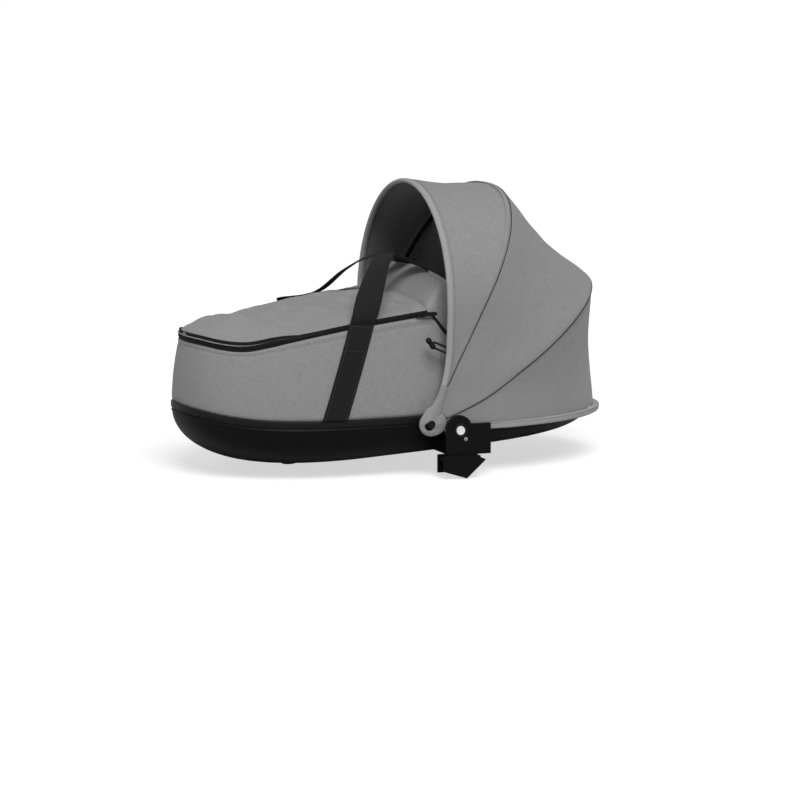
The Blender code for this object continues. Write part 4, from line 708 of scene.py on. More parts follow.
def capsule(length, radius, sides=6):
    """A short thread: a prism that narrows at both ends. Returns its points and its quads."""
    turn = full_turn(sides)
    rings = [(-length / 2, 0.15), (-length / 2.6, 0.85), (0, 1.0), (length / 2.6, 0.85), (length / 2, 0.15)]
    x, share = np.array(rings).T[:, :, None]
    reach = radius * share
    points = np.stack(np.broadcast_arrays(x, reach * np.cos(turn), reach * np.sin(turn)), -1)
    points = points.reshape(-1, 3)
    quads = [[r * sides + k, r * sides + (k + 1) % sides, (r + 1) * sides + (k + 1) % sides,
              (r + 1) * sides + k] for r in range(len(rings) - 1) for k in range(sides)]
    last = (len(rings) - 1) * sides
    quads += [[3, 2, 1, 0], [5, 4, 3, 0], [last, last + 1, last + 2, last + 3],
              [last, last + 3, last + 4, last + 5]]
    return points, np.array(quads)


def dress(made, body, node=None):
    """Puts a piece on its body and hides the solid it stands for, if any."""
    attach(made, body)
    if node:
        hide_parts(node)
    return made


def piece(name, sections, look, body, slot, node=None, **form):
    """A skin through sections in the looks named, dressed."""
    return dress(swept(name, sections, [finish(part) for part in look.split()], **form), body, node)


def blended(made):
    """Bakes a cloth's placement into its mesh."""
    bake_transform(made)


def stitched(name, lines, look, body, pitch, length=0.0026, radius=0.00042):
    """Rows of thread along lines of points and outward directions, all on one body."""
    shape, quads = capsule(length, radius)
    places, along, out = [], [], []
    for path, normal in lines:
        both = resampled(np.concatenate([path, normal], 1), pitch)
        places.append(both[:, :3])
        along.append(np.gradient(both[:, :3], axis=0))
        out.append(both[:, 3:])
    made = many(name, *map(np.concatenate, (places, along, out)), shape, quads, [finish(look)])
    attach(made, body)


def rounded_copy(name, node, look, width):
    """A CAD node's shape with rounded edges: loose triangles merged, flat faces joined, then bevelled."""
    mesh = bmesh.new()
    mesh.from_mesh(frame["nodes"][node].data)
    bmesh.ops.remove_doubles(mesh, verts=mesh.verts, dist=0.00002)
    bmesh.ops.dissolve_limit(mesh, angle_limit=math.radians(1), verts=mesh.verts, edges=mesh.edges)
    data = bpy.data.meshes.new(name)
    mesh.to_mesh(data)
    mesh.free()
    made = bpy.data.objects.new(name, data)
    bpy.context.scene.collection.objects.link(made)
    data.materials.clear()
    data.materials.append(finish(look))
    data.polygons.foreach_set("material_index", np.zeros(len(data.polygons), np.int32))
    data.shade_smooth()
    data.set_sharp_from_angle(angle=math.radians(32))
    edge = made.modifiers.new("edge", "BEVEL")
    edge.width = width
    edge.segments = 3
    edge.limit_method = "ANGLE"
    edge.angle_limit = math.radians(32)
    edge.harden_normals = True
    return dress(made, frame["nodes"][node].parent.name.split(":")[1], node)


# Materials


def add_node(tree, kind, inputs=None, **settings):
    """Adds a node with its settings; an input takes a value, or a socket to link."""
    made = tree.nodes.new(kind)
    for key, value in settings.items():
        setattr(made, key, value)
    for key, value in (inputs or {}).items():
        if isinstance(value, bpy.types.NodeSocket):
            tree.links.new(value, made.inputs[key])
        else:
            made.inputs[key].default_value = value
    return made


WAVE_PER_UNIT = 2 * math.pi / 20  # wave scale at which one band is one unit wide
# Rolled edges get a lighter copy of the shell cloth: painted highlight where the edges catch the light
EDGE_HIGHLIGHT_LIGHTER = 1.28


def plain(name, colour, roughness, **sockets):
    """A new material with the even values of its shader set."""
    material = bpy.data.materials.new(name)
    material.use_nodes = True
    shader = material.node_tree.nodes["Principled BSDF"]
    shader.inputs["Base Color"].default_value = (*colour, 1)
    shader.inputs["Roughness"].default_value = roughness
    for key, value in sockets.items():
        shader.inputs[key.replace("_", " ")].default_value = value
    return material, material.node_tree, shader


def tinted(tree, shader, colour, share, spread):
    """Lets the colour wander by some share either side, after a pattern from 0 to 1."""
    dark = (*[c * (1 - spread) for c in colour], 1)
    light = (*[min(1, c * (1 + spread)) for c in colour], 1)
    mix = add_node(tree, "ShaderNodeMix", {0: share, 6: dark, 7: light}, data_type="RGBA")
    tree.links.new(mix.outputs[2], shader.inputs["Base Color"])


def woven_cloth(name, colour, spacing, spread=0.13):
    """Plain-woven solution-dyed polyester: matt, a faint sheen at the edges, and a heathered, slubby colour.

    Two crossing bands one thread wide change places on a checker, the over-and-under of a plain weave. The
    thread spacing is about 0.5 mm on the real cloth and is drawn coarser, so that it shows. Noise drawn out
    along each thread direction gives the slubs of the melange."""
    material, tree, shader = plain(name, colour, 0.88, Sheen_Weight=0.18, Sheen_Roughness=0.45)
    place = add_node(tree, "ShaderNodeUVMap", uv_map="UVMap").outputs["UV"]
    threads = add_node(tree, "ShaderNodeMapping", {"Vector": place, "Scale": (1 / spacing,) * 3}).outputs[0]
    bands = [add_node(tree, "ShaderNodeTexWave", {"Vector": threads, "Scale": WAVE_PER_UNIT},
                      bands_direction=way) for way in ("X", "Y")]
    over = add_node(tree, "ShaderNodeTexChecker", {"Vector": threads, "Scale": 1.0})
    weave = add_node(tree, "ShaderNodeMix", {0: over.outputs["Fac"], 2: bands[0].outputs["Fac"],
                                             3: bands[1].outputs["Fac"]}, data_type="FLOAT").outputs[0]
    slubs = []
    for stretch in ((0.09, 0.9, 1), (0.9, 0.09, 1)):
        drawn = add_node(tree, "ShaderNodeMapping", {"Vector": threads, "Scale": stretch}).outputs[0]
        slubs.append(add_node(tree, "ShaderNodeTexNoise",
                              {"Vector": drawn, "Scale": 1.0, "Detail": 3.0}).outputs[0])
    melange = add_node(tree, "ShaderNodeMath", {0: slubs[0], 1: slubs[1]}, operation="ADD").outputs[0]
    melange = add_node(tree, "ShaderNodeMapRange",
                       {"Value": melange, "From Min": 0.72, "From Max": 1.28}).outputs[0]
    tinted(tree, shader, colour, melange, spread)
    body = add_node(tree, "ShaderNodeTexCoord").outputs["Object"]
    soft = add_node(tree, "ShaderNodeTexNoise", {"Vector": body, "Scale": 55.0, "Detail": 2.0}).outputs[0]
    low = add_node(tree, "ShaderNodeBump", {"Height": soft, "Strength": 0.6, "Distance": 0.0006}).outputs[0]
    fine = add_node(tree, "ShaderNodeBump", {"Height": weave, "Strength": 0.55, "Distance": spacing * 0.22,
                                             "Normal": low})
    tree.links.new(fine.outputs[0], shader.inputs["Normal"])
    return material


def ribbed_webbing(name, colour, pitch=0.0022, chevron=0.0050):
    """Woven polyamide webbing: a herringbone of fine ribs, with painted highlight on their crowns and painted
    shade between them.

    The rib is a band of x plus a zigzag of y. Real ribs are 0.8 mm wide and are drawn coarser to show."""
    material, tree, shader = plain(name, colour, 0.75, Specular_IOR_Level=0.18, Sheen_Weight=0.01)
    place = add_node(tree, "ShaderNodeUVMap", uv_map="UVMap").outputs["UV"]
    parts = add_node(tree, "ShaderNodeSeparateXYZ", {"Vector": place})
    zigzag = add_node(tree, "ShaderNodeMath", {0: parts.outputs["Y"], 1: chevron},
                      operation="PINGPONG").outputs[0]
    along = add_node(tree, "ShaderNodeMath", {0: parts.outputs["X"], 1: zigzag}, operation="ADD").outputs[0]
    line = add_node(tree, "ShaderNodeMath", {0: along, 1: 1 / pitch}, operation="MULTIPLY").outputs[0]
    vector = add_node(tree, "ShaderNodeCombineXYZ", {"X": line}).outputs[0]
    ribs = add_node(tree, "ShaderNodeTexWave", {"Vector": vector, "Scale": WAVE_PER_UNIT},
                    bands_direction="X").outputs["Fac"]
    # Painted highlight on the ribs' crowns and painted shade in the hollows between them
    tinted(tree, shader, colour, ribs, 0.22)
    bump = add_node(tree, "ShaderNodeBump", {"Height": ribs, "Strength": 0.7, "Distance": 0.0004})
    tree.links.new(bump.outputs[0], shader.inputs["Normal"])
    return material


def moulded_plastic(name, colour, roughness=0.40, grain=900.0, depth=0.00005):
    """Injection-moulded plastic with a spark-eroded grain: satin, with soft uneven gloss.

    The grain is 0.3 mm on the real one and is drawn about 1 mm wide, so that it shows."""
    material, tree, shader = plain(name, colour, roughness, IOR=1.49, Specular_IOR_Level=0.13)
    body = add_node(tree, "ShaderNodeTexCoord").outputs["Object"]
    pits = add_node(tree, "ShaderNodeTexNoise", {"Vector": body, "Scale": grain, "Detail": 2.0}).outputs[0]
    broad = add_node(tree, "ShaderNodeTexNoise", {"Vector": body, "Scale": 18.0, "Detail": 3.0}).outputs[0]
    gloss = add_node(tree, "ShaderNodeMapRange", {"Value": broad, "From Min": 0.3, "From Max": 0.7,
                                                  "To Min": roughness - 0.05, "To Max": roughness + 0.06})
    tree.links.new(gloss.outputs[0], shader.inputs["Roughness"])
    tinted(tree, shader, colour, broad, 0.12)
    bump = add_node(tree, "ShaderNodeBump", {"Height": pits, "Strength": 0.5, "Distance": depth})
    tree.links.new(bump.outputs[0], shader.inputs["Normal"])
    return material


def spun_thread(name, colour):
    """Bonded polyester sewing thread: a twisted strand with a low sheen. Twist spacing 0.6 mm."""
    material, tree, shader = plain(name, colour, 0.6, Sheen_Weight=0.15)
    body = add_node(tree, "ShaderNodeTexCoord").outputs["Object"]
    twist = add_node(tree, "ShaderNodeTexNoise", {"Vector": body, "Scale": 1500.0}).outputs[0]
    tinted(tree, shader, colour, twist, 0.18)
    return material


def bright_wire(name):
    """Drawn spring steel: fine scratches lengthways, so a broad highlight."""
    material, tree, shader = plain(name, linear("#c3c4c6"), 0.28, Metallic=1.0)
    body = add_node(tree, "ShaderNodeTexCoord").outputs["Object"]
    scratch = add_node(tree, "ShaderNodeTexNoise", {"Vector": body, "Scale": 700.0, "Detail": 4.0}).outputs[0]
    rough = add_node(tree, "ShaderNodeMapRange",
                     {"Value": scratch, "To Min": 0.20, "To Max": 0.38}).outputs[0]
    tree.links.new(rough, shader.inputs["Roughness"])
    return material


def pressed_board(name):
    """Hardboard: brown-grey pressed fibres 2 to 5 mm long."""
    colour = linear("#8b8378")
    material, tree, shader = plain(name, colour, 0.8)
    body = add_node(tree, "ShaderNodeTexCoord").outputs["Object"]
    drawn = add_node(tree, "ShaderNodeMapping", {"Vector": body, "Scale": (260.0, 900.0, 900.0)}).outputs[0]
    fibre = add_node(tree, "ShaderNodeTexNoise", {"Vector": drawn, "Scale": 1.0, "Detail": 4.0}).outputs[0]
    tinted(tree, shader, colour, fibre, 0.25)
    bump = add_node(tree, "ShaderNodeBump", {"Height": fibre, "Strength": 0.4, "Distance": 0.0002})
    tree.links.new(bump.outputs[0], shader.inputs["Normal"])
    return material


# Small plastic pieces: name, colour, roughness, grains per metre and depth of the grain
PLASTICS = {
    "hard_moulding": ("moulded_nylon_black", "#1b1b1c", 0.34, 1300.0, 0.00003),
    "bow": ("extruded_nylon_black", "#242425", 0.45),
    "rubber": ("moulded_rubber_black", "#161616", 0.72, 600.0, 0.0001),
    "button": ("moulded_abs_white", "#efefed", 0.28, 1500.0, 0.00001),
    "lamp": ("moulded_acrylic_grey", "#8f9092", 0.22, 1500.0, 0.00001),
    "coil": ("nylon_zip_coil_black", "#1d1d1e", 0.42, 1500.0, 0.00001),
}
FINISHES = {}


def finish(name):
    """A named material of this part, made at its first use from the colours and sizes in the sidebar."""
    if name in FINISHES:
        return FINISHES[name]
    colours = bpy.context.scene.carrycot_finish
    spacing = bpy.context.scene.carrycot_sizes.thread_spacing
    grey = tuple(colours.shell_cloth)
    makers = {
        "shell_cloth": lambda: woven_cloth("woven_polyester_grey", grey, spacing),
        # The lighter edge cloth is painted highlight on the rolled edges
        "edge_cloth": lambda: woven_cloth("woven_polyester_edge", [min(1, c * EDGE_HIGHLIGHT_LIGHTER) for c in grey],
                                          spacing, 0.10),
        # Lighter than the dark lining cloth, as painted light inside the canopy and the body
        "lining_cloth": lambda: woven_cloth("woven_lining_black", colours.lining_cloth, spacing * 0.9, 0.2),
        "mattress_cloth": lambda: woven_cloth("knitted_cover_white", colours.mattress_cloth, spacing * 2,
                                              0.05),
        "webbing": lambda: ribbed_webbing("woven_webbing_black", colours.webbing),
        "trim": lambda: ribbed_webbing("grosgrain_tape_black", colours.webbing, 0.0016, 0.0014),
        "moulding": lambda: moulded_plastic("moulded_polypropylene_black", colours.moulding),
        "grey_thread": lambda: spun_thread("polyester_thread_grey", linear("#7c7c7e")),
        # Black thread for the handles' stitches, and for the dark cords painted as shadow in the canopy's
        # seams
        "black_thread_and_seam_shadow": lambda: spun_thread("polyester_thread_black", linear("#0c0c0c")),
        "wire": lambda: bright_wire("drawn_spring_steel"),
        "board": lambda: pressed_board("pressed_hardboard"),
    }
    if name in PLASTICS:
        title, colour, *surface = PLASTICS[name]
        FINISHES[name] = moulded_plastic(title, linear(colour), *surface)
    else:
        FINISHES[name] = makers[name]()
    return FINISHES[name]


# Operators, one for each piece or group of like pieces


def sizes():
    """The sizes from the sidebar."""
    return bpy.context.scene.carrycot_sizes


class CARRYCOT_OT_tray(bpy.types.Operator):
    """Moulded tray with its clamping band, the bead under it and four rubber pads"""

    bl_idname = "carrycot.tray"
    bl_label = "Moulded tray"

    def execute(self, context):
        u = around(sizes().fineness)
        turn = np.linspace(0, math.pi / 2, 30)
        rings = []
        for inward, lift, order in ((0, 0, turn[::-1]), (BASE_WALL, BASE_WALL, turn)):
            for angle in order:
                drawn, depth = 1 - math.cos(angle), math.sin(angle)
                size = tuple(reach - inset * drawn - inward for reach, inset in zip(WAIST, BASE_INSETS))
                x, y = plan(u, size)
                top = waist_height(plan(u, WAIST)[0]) - BAND_HEIGHT - GAP
                rings.append(np.stack([x, y, top + (underside(x) + lift - top) * depth], -1))
        piece("tray", np.array(rings), "moulding", "carrycot", "black_moulding", "base_shell")
        profile = rounded_profile(BAND_THICKNESS, BAND_HEIGHT, BAND_ROUNDING)
        profile = profile + (BAND_PROUD - BAND_THICKNESS / 2, -BAND_HEIGHT / 2)
        piece("clamping_band", ring_sections(u, WAIST, profile, waist_height), "hard_moulding", "carrycot",
              "black_moulding", "waist_band", closed=True)
        bead = oval_profile(*BEAD, 12) + (-BEAD_INSET, -BAND_HEIGHT - BEAD_BELOW_BAND)
        piece("tray_bead", ring_sections(u, WAIST, bead, waist_height), "moulding", "carrycot",
              "black_moulding", closed=True)
        for end in ("foot", "head"):
            for side_name, _ in SIDES:
                rounded_copy(f"pad_{end}_{side_name}", f"foot_pad_{end}_{side_name}", "rubber",
                             PAD_ROUNDING)
        return {"FINISHED"}


class CARRYCOT_OT_wall(bpy.types.Operator):
    """Padded fabric wall with its hoop tunnel, the lining and the bound edge inside the canopy"""

    bl_idname = "carrycot.wall"
    bl_label = "Fabric wall"

    def execute(self, context):
        u = around(sizes().fineness)
        level = np.concatenate([np.linspace(0, 0.86, 22, endpoint=False), np.linspace(0.86, 1, 12)])
        outer = wall_point(u[:, None], level[None, :])
        inner = wall_point(u[:, None], level[None, :], -WALL_THICKNESS)
        relief = sum(height * bell(level, place, width) for height, place, width in WALL_RELIEF)
        soft = ripples(outer, 0.075, 3, (1.0, 1.0, 0.35)) * WALL_SOFTNESS * np.sin(math.pi * level) ** 0.7
        out = sheet_normals(outer, True)
        outer = outer + out * (relief + soft)[..., None]
        lip = wall_point(u, np.ones_like(u), -WALL_THICKNESS / 2) + (0, 0, LIP_RISE)
        wall = piece("fabric_wall", np.concatenate([outer, lip[:, None], inner[:, ::-1]], 1), "shell_cloth",
                     "carrycot", "grey_fabric", "side_wall", closed=True)
        drop = np.concatenate([[-BAND_HEIGHT], 0 * level])
        middle = wall_point(u[:, None], np.concatenate([[0], level])[None, :], -LINING_INSET)
        middle[..., 2] += drop
        middle = middle + out[:, :1] * (ripples(middle, 0.05, 5) * LINING_SOFTNESS)[..., None]
        lining = piece("lining_cloth", skins(middle, LINING_THICKNESS, closed=True), "lining_cloth",
                       "carrycot", "dark_lining", "lining", closed=True)
        span = np.linspace(3 + ZIP_SHARE, 5 + (1 - ZIP_SHARE), 260)
        past_zip = smooth((plan(span, RIM)[0] - ZIP_END_X - 0.004) / 0.022)
        sections = drawn_in(ring_sections(span, RIM, tape_profile(0.0010), rim_height),
                            BINDING_END_SHARE + (1 - BINDING_END_SHARE) * past_zip)
        piece("elastic_binding", sections, "trim", "carrycot", "black_trim", "head_edge_binding")
        return {"FINISHED"}


class CARRYCOT_OT_zip(bpy.types.Operator):
    """Zip round the foot half: tape, coil of teeth, grey piping at the foot, sliders with their pulls"""

    bl_idname = "carrycot.zip"
    bl_label = "Zip"

    def execute(self, context):
        u = np.linspace(2 - ZIP_SHARE, 3 + ZIP_SHARE, 420)
        place = plan(u, RIM)[0]
        sections = ring_sections(u, RIM, tape_profile(0.0007), rim_height)
        level = sections[..., 2].mean(1, keepdims=True)
        growth = 1 + ZIP_TOE_GROWTH * smooth((ZIP_TOE_X - place) / ZIP_TOE_LENGTH)
        sections[..., 2] = level + (sections[..., 2] - level) * growth[:, None]
        piece("zip_tape_cloth", sections, "trim", "carrycot", "black_trim", "zip_tape")
        line = resampled(np.stack([*plan(u, grown(RIM, TRIM_PROUD)), rim_height(place)], 1), TOOTH_PITCH)
        along = np.gradient(line, axis=0)
        out = unit(np.cross(along, np.array([0.0, 0.0, 1.0])))
        out = out * np.sign((out * (line - BODY_MIDDLE)).sum(1, keepdims=True))
        teeth = many("zip_coil", line + out * TOOTH_PROUD, np.cross(out, along), out, *capsule(*TOOTH),
                     [finish("coil")])
        dress(teeth, "carrycot")
        foot = u[place < COVER_START_X]
        place = plan(foot, RIM)[0]
        wide = smooth((ZIP_TOE_X - place) / ZIP_TOE_LENGTH)
        band = rounded_profile(*COVER_BAND, COVER_ROUNDING) + (TRIM_PROUD - COVER_INSET, 0)
        end_share = COVER_END_SHARE + (1 - COVER_END_SHARE) * wide
        band = drawn_in(ring_sections(foot, RIM, band, rim_height), end_share)
        band[..., 2] += (COVER_LIFTS[0] + COVER_LIFTS[1] * wide)[:, None]
        piece("zip_cover_band", band, "trim", "carrycot", "black_trim")
        tip = smooth((PIPING_START_X - place) / PIPING_TIP_LENGTH)
        cord = oval_profile(*PIPING, 14, 2.0) + (PIPING_PROUD, 0)
        end_share = PIPING_END_SHARE + (1 - PIPING_END_SHARE) * tip
        cord = drawn_in(ring_sections(foot, RIM, cord, rim_height), end_share)
        cord[..., 2] += (PIPING_LIFT * wide)[:, None]
        piece("foot_piping", cord, "shell_cloth", "carrycot", "grey_fabric")
        for side_name, side in SIDES:
            centre = np.array(PULL_PIVOT) * (1, side, 1)
            for name, rounding in (("zip_slider", SLIDER_ROUNDING), ("zip_pull", PULL_ROUNDING)):
                made = rounded_copy(f"{name}_{side_name}_metal", f"{name}_{side_name}", "coil",
                                    rounding)
                places = np.empty(3 * len(made.data.vertices))
                made.data.vertices.foreach_get("co", places)
                places = (places.reshape(-1, 3) - centre) * SLIDER_GROWTH + centre
                places[:, 1] += side * SLIDER_PROUD
                made.data.vertices.foreach_set("co", places.ravel())
                made.data.update()
        return {"FINISHED"}


def apron_middle(stations, columns):
    """The apron's middle surface: ruled across between both runs of the zip, crowned, with broad folds.

    Its rise is crown*(1-s^2) plus three slanting waves that fade at the edge, s being the share across. A
    valley runs beside the near zip with a ridge next to it, the toe bulges, and a crease slants off the flap.
    Each of these is a bell exp(-(d/width)^2) of the distance from its line."""
    tip = np.linspace(0, 1, stations) ** 1.6  # stations crowd towards the toe
    u = 2.5 - tip * (0.5 + ZIP_SHARE)
    x, half = plan(u, grown(RIM, -APRON_INSET))
    half = np.maximum(half, APRON_TIP_HALF_WIDTH)[:, None]
    across = np.linspace(-1, 1, columns)[None, :]
    dome = 1 - across ** 2
    fill = (half / half.max()) ** 0.45
    y = across * half
    x = np.broadcast_to(x[:, None], y.shape)
    folds = sum(height * np.sin(2 * math.pi * (x * ahead + y * aside) / wavelength + phase)
                for height, ahead, aside, wavelength, phase in APRON_FOLDS)
    first_turn, second_turn = (smooth((x - turn) / VALLEY_TURN_LENGTH) for turn in VALLEY_TURNS_X)
    start, first_step, second_step = VALLEY_STEPS
    from_valley = (across - (start - first_step * first_turn - second_step * second_turn)) * half
    first_shown, last_shown = VALLEY_SHOWN_X
    shown = smooth((x - first_shown) / VALLEY_FADE) * smooth((last_shown - x) / VALLEY_FADE)
    depth = VALLEY_DEPTHS[0] + VALLEY_DEPTHS[1] * bell(x, *VALLEY_DEEPEST)
    folds = folds - depth * shown * bell(from_valley, 0, VALLEY_WIDTH)
    folds = folds + RIDGE[0] * shown * bell(from_valley, *RIDGE[1:])
    folds = folds + TOE_BULGE[0] * bell(x, *TOE_BULGE[1:]) * np.maximum(dome, 0.0) ** 0.3
    crease_depth, crease_width, crease_x, slant = CREASE
    crease = bell(x + slant * y, crease_x, crease_width) * smooth((y + 0.06) / 0.03)
    rise = sizes().apron_crown * dome + (folds - crease_depth * crease) * dome ** 0.7
    rim = rim_height(plan(u, RIM)[0])[:, None] - APRON_EDGE_ROLL * np.abs(across) ** 24
    return np.stack([x, y, rim + APRON_LIFT + APRON_THICKNESS / 2 + rise * fill], -1)


class CARRYCOT_OT_apron(bpy.types.Operator):
    """Padded apron zipped over the foot half, with a bound edge and a seam before the wind flap"""

    bl_idname = "carrycot.apron"
    bl_label = "Apron"

    def execute(self, context):
        columns = 90
        middle = apron_middle(170, columns)
        if sheet_normals(middle, False)[..., 2].mean() < 0:
            middle = middle[:, ::-1]
        row = np.argmin(np.abs(middle[:, columns // 2, 0] - APRON_STITCH_X))
        line = middle[row] + (0, 0, APRON_THICKNESS / 2 - 0.0001)
        upward = np.tile((0.0, 0.0, 1.0), (columns, 1))
        depth, seam_x, seam_width = APRON_SEAM
        middle = middle - np.array([0, 0, depth]) * bell(middle[..., :1], seam_x, seam_width)
        inside = np.minimum(1, 9 * (1 - np.abs(np.linspace(-1, 1, columns))))
        thickness = APRON_THICKNESS * (APRON_EDGE_SHARE + (1 - APRON_EDGE_SHARE) * inside)[None, :]
        cover = piece("apron_cover", skins(middle, thickness, turns=4), "shell_cloth", "carrycot",
                      "grey_fabric", "apron", caps="skins")
        stitched("apron_stitches", [(line, upward)], "grey_thread", "carrycot", sizes().stitch_pitch)
        return {"FINISHED"}


def flap_grid(rows=26):
    """The wind flap's middle surface, from its foot line on the zip's head end up to its curved top edge.

    Both lines run in along the right wing, across the middle and out along the left wing; rows go straight
    between them with a small curl of sin(pi*v)."""
    across = np.linspace(-1, 1, 81)

    def crown(y):
        return FLAP_TOP_CORNER_Z + FLAP_TOP_CROWN * (1 - (y / FLAP_TOP_HALF_WIDTH) ** 2)

    foot = np.stack([0 * across + ZIP_END_X + GAP, across * FLAP_FOOT_HALF_WIDTH,
                     rim_height(ZIP_END_X) + APRON_LIFT + FLAP_FOOT_CROWN * (1 - across**2)], 1)
    top = np.stack([0 * across + FLAP_TOP_X, across * FLAP_REACH, crown(across * FLAP_REACH)], 1)
    share = np.linspace(0, 1, 19)[1:]
    wings = []
    for side in (-1, 1):
        x = ZIP_END_X + GAP + (FLAP_WING_END_X - ZIP_END_X) * share
        low = np.stack([x, 0 * x + side * FLAP_FOOT_HALF_WIDTH, rim_height(x) + APRON_LIFT], 1)
        wide = FLAP_REACH + (FLAP_TOP_HALF_WIDTH - FLAP_REACH) * share
        wings.append((low, np.stack([0 * x + FLAP_TOP_X, side * wide, crown(wide)], 1)))
    foot = np.concatenate([wings[0][0][::-1], foot, wings[1][0]])
    top = np.concatenate([wings[0][1][::-1], top, wings[1][1]])
    for _ in range(5):
        foot[1:-1] = (foot[:-2] + 2 * foot[1:-1] + foot[2:]) / 4
    up = np.linspace(0, 1, rows)[None, :, None]
    grid = foot[:, None] * (1 - up) + top[:, None] * up
    normal = sheet_normals(grid, False)
    if normal[..., 0].mean() > 0:
        grid, normal = grid[::-1], -normal[::-1]
    arch = np.sin(math.pi * up[..., 0])
    wave = ripples(grid, 0.06, 11, (1, 1, 0.5)) * 0.0012 * arch
    return grid + normal * (FLAP_CURL * arch + wave)[..., None]


class CARRYCOT_OT_flap(bpy.types.Operator):
    """Wind flap that stands up from the apron's head edge, with a folded and stitched top edge"""

    bl_idname = "carrycot.flap"
    bl_label = "Wind flap"

    def execute(self, context):
        grid = flap_grid()
        flap = swept("flap_cloth", skins(grid, FLAP_THICKNESS), [finish("shell_cloth")], caps="skins")
        blended(flap)
        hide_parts("wind_flap")
        top = grid[:, -1]
        upward = unit(top - grid[:, -3])
        facing = sheet_normals(grid, False)[:, -1]
        edge = carried(top - upward * FLAP_EDGE_DROP, facing, oval_profile(*FLAP_EDGE, 14, 2.2))
        # The flap's rolled top edge is drawn lighter as painted highlight
        piece("flap_edge", edge, "edge_cloth", "flap", "grey_fabric")
        down = top - upward * FLAP_STITCH_DROP
        rows = [(down + facing * side * FLAP_STITCH_PROUD, facing * side) for side in (1, -1)]
        stitched("flap_stitches", rows, "grey_thread", "flap", sizes().stitch_pitch)
        return {"FINISHED"}


def bow_line(name, share, grow=0.0, widen=0.0):
    """A bow's centre line from the right hub (share -1) over the top (0) to the left hub (1).

    Straight legs, then a superellipse arch, and near the hub a bend that fades as (1-out/bend)^2."""
    bow = BOWS[name]
    share = np.asarray(share, float)
    up = 1 - np.abs(share)
    side = np.where(share < 0, -1, 1)
    half = FIRST_BOW_HALF_WIDTH + bow["layer"] * BOW_STEP + grow + widen
    turn = math.pi / 2 * np.clip((up - LEG_SHARE) / (1 - LEG_SHARE), 0, 1)
    rise, across = quarter(turn, bow["reach"] + grow - bow["leg"], half, bow["power"])
    on_leg = up < LEG_SHARE
    out = np.where(on_leg, bow["leg"] * up / LEG_SHARE, bow["leg"] + rise)
    across = np.where(on_leg, half, across)
    angle = math.radians(bow["angle"])
    fade = np.maximum(0, 1 - out / bow["bend"]) ** 2
    x = bow["root"][0] + out * math.cos(angle) + (HUB_X - bow["root"][0]) * fade
    z = bow["root"][1] + out * math.sin(angle) + (HUB_Z - bow["root"][1]) * fade
    return np.stack(np.broadcast_arrays(x, side * across, z), -1)


def bow_outward(name, share):
    """Direction away from the body at each place of a bow, square to the bow and in its plane."""
    line = bow_line(name, share)
    along = unit(np.gradient(line, axis=0))
    angle = math.radians(BOWS[name]["angle"])
    outward = unit(np.cross(np.array([-math.sin(angle), 0, math.cos(angle)]), along))
    reference = np.stack([0 * share + math.cos(angle), np.sign(share), 0 * share + math.sin(angle)], -1)
    return outward * np.sign((outward * reference).sum(-1, keepdims=True))


class CARRYCOT_OT_bows(bpy.types.Operator):
    """Three sprung bows of oval section with an eye at each end, nested on one pin on each side"""

    bl_idname = "carrycot.bows"
    bl_label = "Canopy bows"

    def execute(self, context):
        share = np.linspace(-1, 1, 241)
        inner, outer, rim = EYE_RADII
        for name, bow in BOWS.items():
            sections = carried(bow_line(name, share), bow_outward(name, share),
                               oval_profile(BOW_THICKNESS, BOW_WIDTH, 16))
            piece(f"{name}_bow_rod", sections, "bow", f"canopy_{name}", "bow_plastic", f"canopy_{name}_bow")
            low = FIRST_BOW_HALF_WIDTH + bow["layer"] * BOW_STEP - BOW_THICKNESS / 2
            high = low + BOW_THICKNESS
            ring = [(inner, low), (outer, low), (rim, low + EYE_ROUNDING), (rim, high - EYE_ROUNDING),
                    (outer, high), (inner, high)]
            for side_name, side in SIDES:
                eye = piece(f"{name}_bow_eye_{side_name}", turned(ring, (HUB_X, HUB_Z), side), "bow",
                            f"canopy_{name}", "bow_plastic", closed=True)
                eye.data.set_sharp_from_angle(angle=math.radians(30))
        return {"FINISHED"}


def cloth_edge(name):
    """The line of the canopy's cloth over one bow, standing off it as its outermost neighbour does."""
    widen = (BOWS["front"]["layer"] - BOWS[name]["layer"]) * BOW_STEP
    return lambda share, outset: bow_line(name, share, BOW_THICKNESS / 2 + CLOTH_CLEARANCE + outset, widen)


def hem_place(share, half_width, reach, z):
    """The hem line: along each side from the hub, then round the head end as a superellipse."""
    share = np.asarray(share, float)
    up = 1 - np.abs(share)
    side = np.where(share < 0, -1, 1)
    turn = math.pi / 2 * np.clip((up - LEG_SHARE) / (1 - LEG_SHARE), 0, 1)
    out, across = quarter(turn, reach, half_width, HEAD_SQUARENESS)
    on_side = up < LEG_SHARE
    x = np.where(on_side, HEM_START_X + (HEAD_CENTRE_X - HEM_START_X) * up / LEG_SHARE, HEAD_CENTRE_X + out)
    y = side * np.where(on_side, half_width, across)
    return np.stack(np.broadcast_arrays(x, y, z), -1)


def hem_edge(share, outset):
    """The cloth's edge along the hem's top."""
    reach = WAIST[2] + BAND_PROUD + GAP
    return hem_place(share, CLOTH_OFF_HUB + outset, reach + outset, HEM_TOP_Z + GAP)


